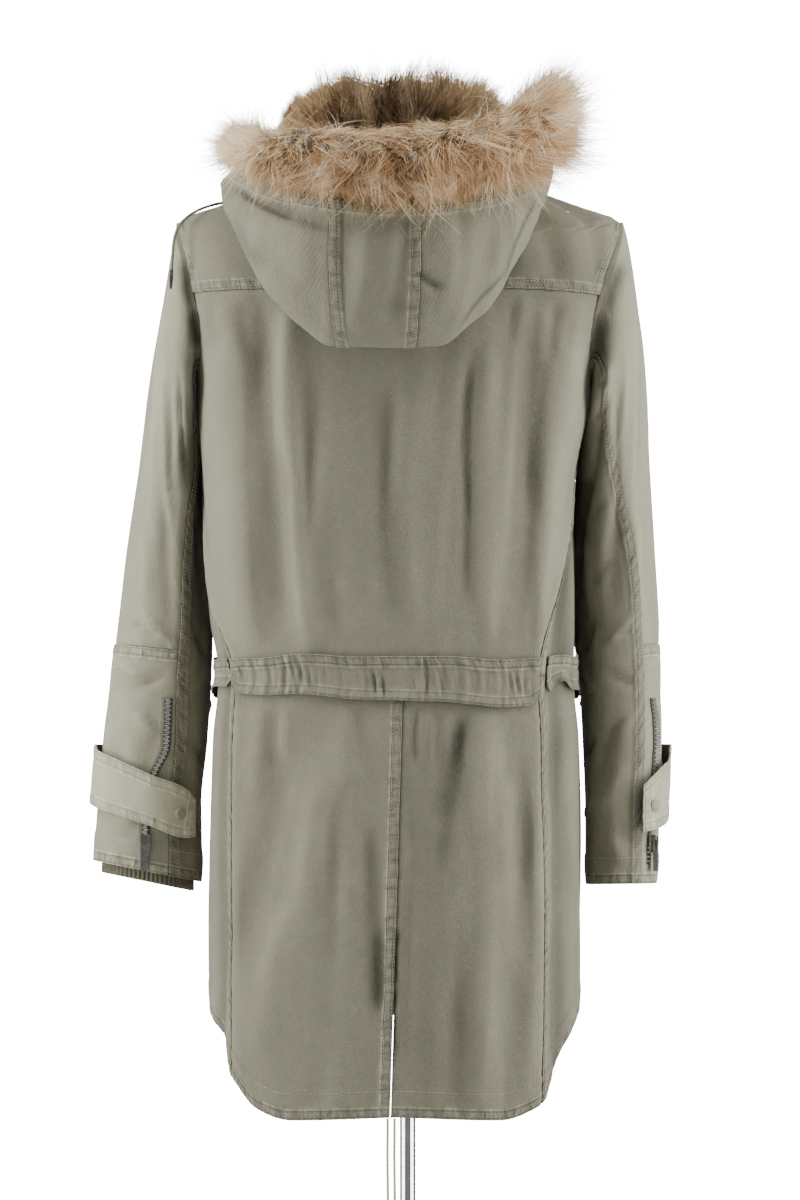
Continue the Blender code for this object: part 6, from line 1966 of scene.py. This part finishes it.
def lining_pile(angle, s):
    middle = 1 - ease(32, 66, np.abs(angle))
    stand = np.exp(-(((s - 1.1) / 0.35) ** 2)) * (1 - 0.75 * ease(30, 80, np.abs(angle)))
    crease = 1 - 0.85 * np.exp(-(((s - 3.0) / 0.5) ** 2))
    return (0.0022 + (LINING - 0.0022) * middle + LINING_ROLL * stand) * crease, stand


def lining_backing():
    rows, columns = LINING_GRID
    a, s = np.meshgrid(np.linspace(-87, 87, columns), np.linspace(0.76, LINING_TOP - 0.02, rows))
    foot = lining_foot(a, s)
    stand = lining_pile(a, s)[1]
    top = foot - hood_away(a, s) * (0.0014 + 0.48 * LINING_ROLL * stand)[..., None]
    backing = piece_mesh("lining_backing", *wall(top, foot), LINING_CLOTH, "lining_fur")
    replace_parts(backing, "hood_lining")
    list(cut(foot))


def lining_region(angle, own):
    """The place's share of the paler hair."""
    middle = np.exp(-(((angle + 2) / 13.0) ** 2))
    sides = 0.50 * ease(-24, -46, angle) + 0.38 * ease(20, 40, angle)
    return np.clip(0.55 - 0.55 * middle + sides + 0.22 * own[:, 0], 0, 1)


def lining_hair():
    """The dense darker pile, tallest on the roll behind the ruff."""
    rng = np.random.default_rng(15)
    on_roll = rng.random(LINING_HAIRS) < 0.66
    angle = rng.uniform(-86, 86, LINING_HAIRS)
    spread = rng.normal(1.12, 0.28, LINING_HAIRS), rng.uniform(0.8, LINING_TOP - 0.05, LINING_HAIRS)
    s = np.clip(np.where(on_roll, *spread), 0.78, LINING_TOP - 0.04)
    away = hood_away(angle, s)
    pile, stand = lining_pile(angle, s)
    root = lining_foot(angle, s) - away * (0.0010 + 0.30 * LINING_ROLL * stand)[:, None]
    tuft = (np.floor(angle / 2.2) * 53 + np.floor(s / 0.12) * 7).astype(int) % LINING_TUFTS
    own = np.random.default_rng(33).normal(size=(LINING_TUFTS, 4))[tuft]
    way = unit(-away + own[:, :3] * 0.26 + rng.normal(size=(LINING_HAIRS, 3)) * 0.10)
    bend = own[:, 1:4] * 0.16 + np.array([0, 0, 0.10])
    locks = np.sin(angle * 0.21 + 1.0) * np.sin(angle * 0.083)
    tall = 0.97 + 0.12 * np.exp(-((angle / 42.0) ** 4)) + 0.10 * locks
    length = (pile * 1.03 - 0.30 * LINING_ROLL * stand) * rng.uniform(0.76, 1.06, LINING_HAIRS)
    length = length * (1 + 0.06 * own[:, 3]) * tall
    spike = rng.random(LINING_HAIRS) < 0.03
    length = np.clip(np.where(spike, length * 1.18, length), 0.003, LONGEST)
    tone = np.clip(0.48 + 0.34 * own[:, 3] + rng.normal(size=LINING_HAIRS) * 0.2, 0, 1)
    strands("lining_pile", root, way, length, np.full(LINING_HAIRS, LINING_HAIR_WIDE), bend, tone,
            lining_region(angle, own), LINING_FUR, "lining_fur", -away, 2, 7)


ruff_backing()
for hair in RUFF_HAIR:
    ruff_hair(*hair)
lining_backing()
lining_hair()

# Carried-over parts, floor and light
FRONT_SNAPS = tuple(f"front_snap_{i}" for i in range(1, 6))
METAL_PARTS = ("zip_slider_left", "zip_slider_right", "pull_tab_left", "pull_tab_right", "hood_cord_tip")
CARRIED = (
    (FORM, ("dress_form",)),
    (CHROME, ("stand_pole", "stand_base")),
    (DARK_METAL, METAL_PARTS + FRONT_SNAPS),
    (COTTON_PLAIN, ("cuff_snap_left", "cuff_snap_right")),
    (CORD_LOOK, ("hem_cord_knot_left", "hem_cord_knot_right")),
)
FLOOR_R = 1.5
FLOOR_Z = -0.0006
FLOOR_SIDES = 96
SOFT_LIGHT = 0.27
SEEN_WHITE = 20.0
# Lights: name, place, aim, size and power.
LIGHTS = (
    ("key_left", (-1.25, -0.38, 1.30), (-0.1, 0, 1.02), (0.5, 2.3), 39),
    ("key_right", (1.25, -0.40, 1.30), (0.1, 0, 1.00), (0.5, 2.3), 38),
    ("front_soft", (0.1, -3.6, 2.3), (0, 0, 0.95), (2.2, 1.6), 5),
    ("top_soft", (0.0, -0.6, 2.8), (0, 0, 1.1), (1.8, 1.6), 14),
    ("back_soft", (0.0, 2.8, 1.6), (0, 0, 1.0), (2.4, 2.0), 26),
)


def relook():
    for look, names in CARRIED:
        for name in names:
            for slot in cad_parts[name].material_slots:
                slot.material = look


def area_light(name, place, aim, size, power):
    light = bpy.data.lights.new(name, "AREA")
    light.shape = "RECTANGLE"
    light.size, light.size_y = size
    light.energy = power
    made = bpy.data.objects.new(name, light)
    bpy.context.scene.collection.objects.link(made)
    made.location = place
    made.rotation_euler = (Vector(aim) - Vector(place)).to_track_quat("-Z", "Y").to_euler()


def floor():
    mesh = bpy.data.meshes.new("floor")
    turns = [2 * math.pi * k / FLOOR_SIDES for k in range(FLOOR_SIDES)]
    points = [(FLOOR_R * math.cos(t), FLOOR_R * math.sin(t), FLOOR_Z) for t in turns]
    mesh.from_pydata(points, [], [tuple(range(FLOOR_SIDES))])
    look = Nodes("pale_floor")
    look.set(Base_Color=(0.82, 0.82, 0.81), Roughness=0.75, Specular_IOR_Level=0.2)
    mesh.materials.append(look.material)
    made = bpy.data.objects.new("floor", mesh)
    bpy.context.scene.collection.objects.link(made)


def studio():
    for light in LIGHTS:
        area_light(*light)
    world = bpy.data.worlds.new("studio")
    world.use_nodes = True
    tree = world.node_tree
    soft, seen = tree.nodes["Background"], tree.nodes.new("ShaderNodeBackground")
    for node, strength in ((soft, SOFT_LIGHT), (seen, SEEN_WHITE)):
        node.inputs["Color"].default_value = (1, 1, 1, 1)
        node.inputs["Strength"].default_value = strength
    pick = tree.nodes.new("ShaderNodeMixShader")
    path = tree.nodes.new("ShaderNodeLightPath")
    tree.links.new(path.outputs["Is Camera Ray"], pick.inputs[0])
    tree.links.new(soft.outputs[0], pick.inputs[1])
    tree.links.new(seen.outputs[0], pick.inputs[2])
    tree.links.new(pick.outputs[0], tree.nodes["World Output"].inputs["Surface"])
    bpy.context.scene.world = world


relook()
floor()
studio()
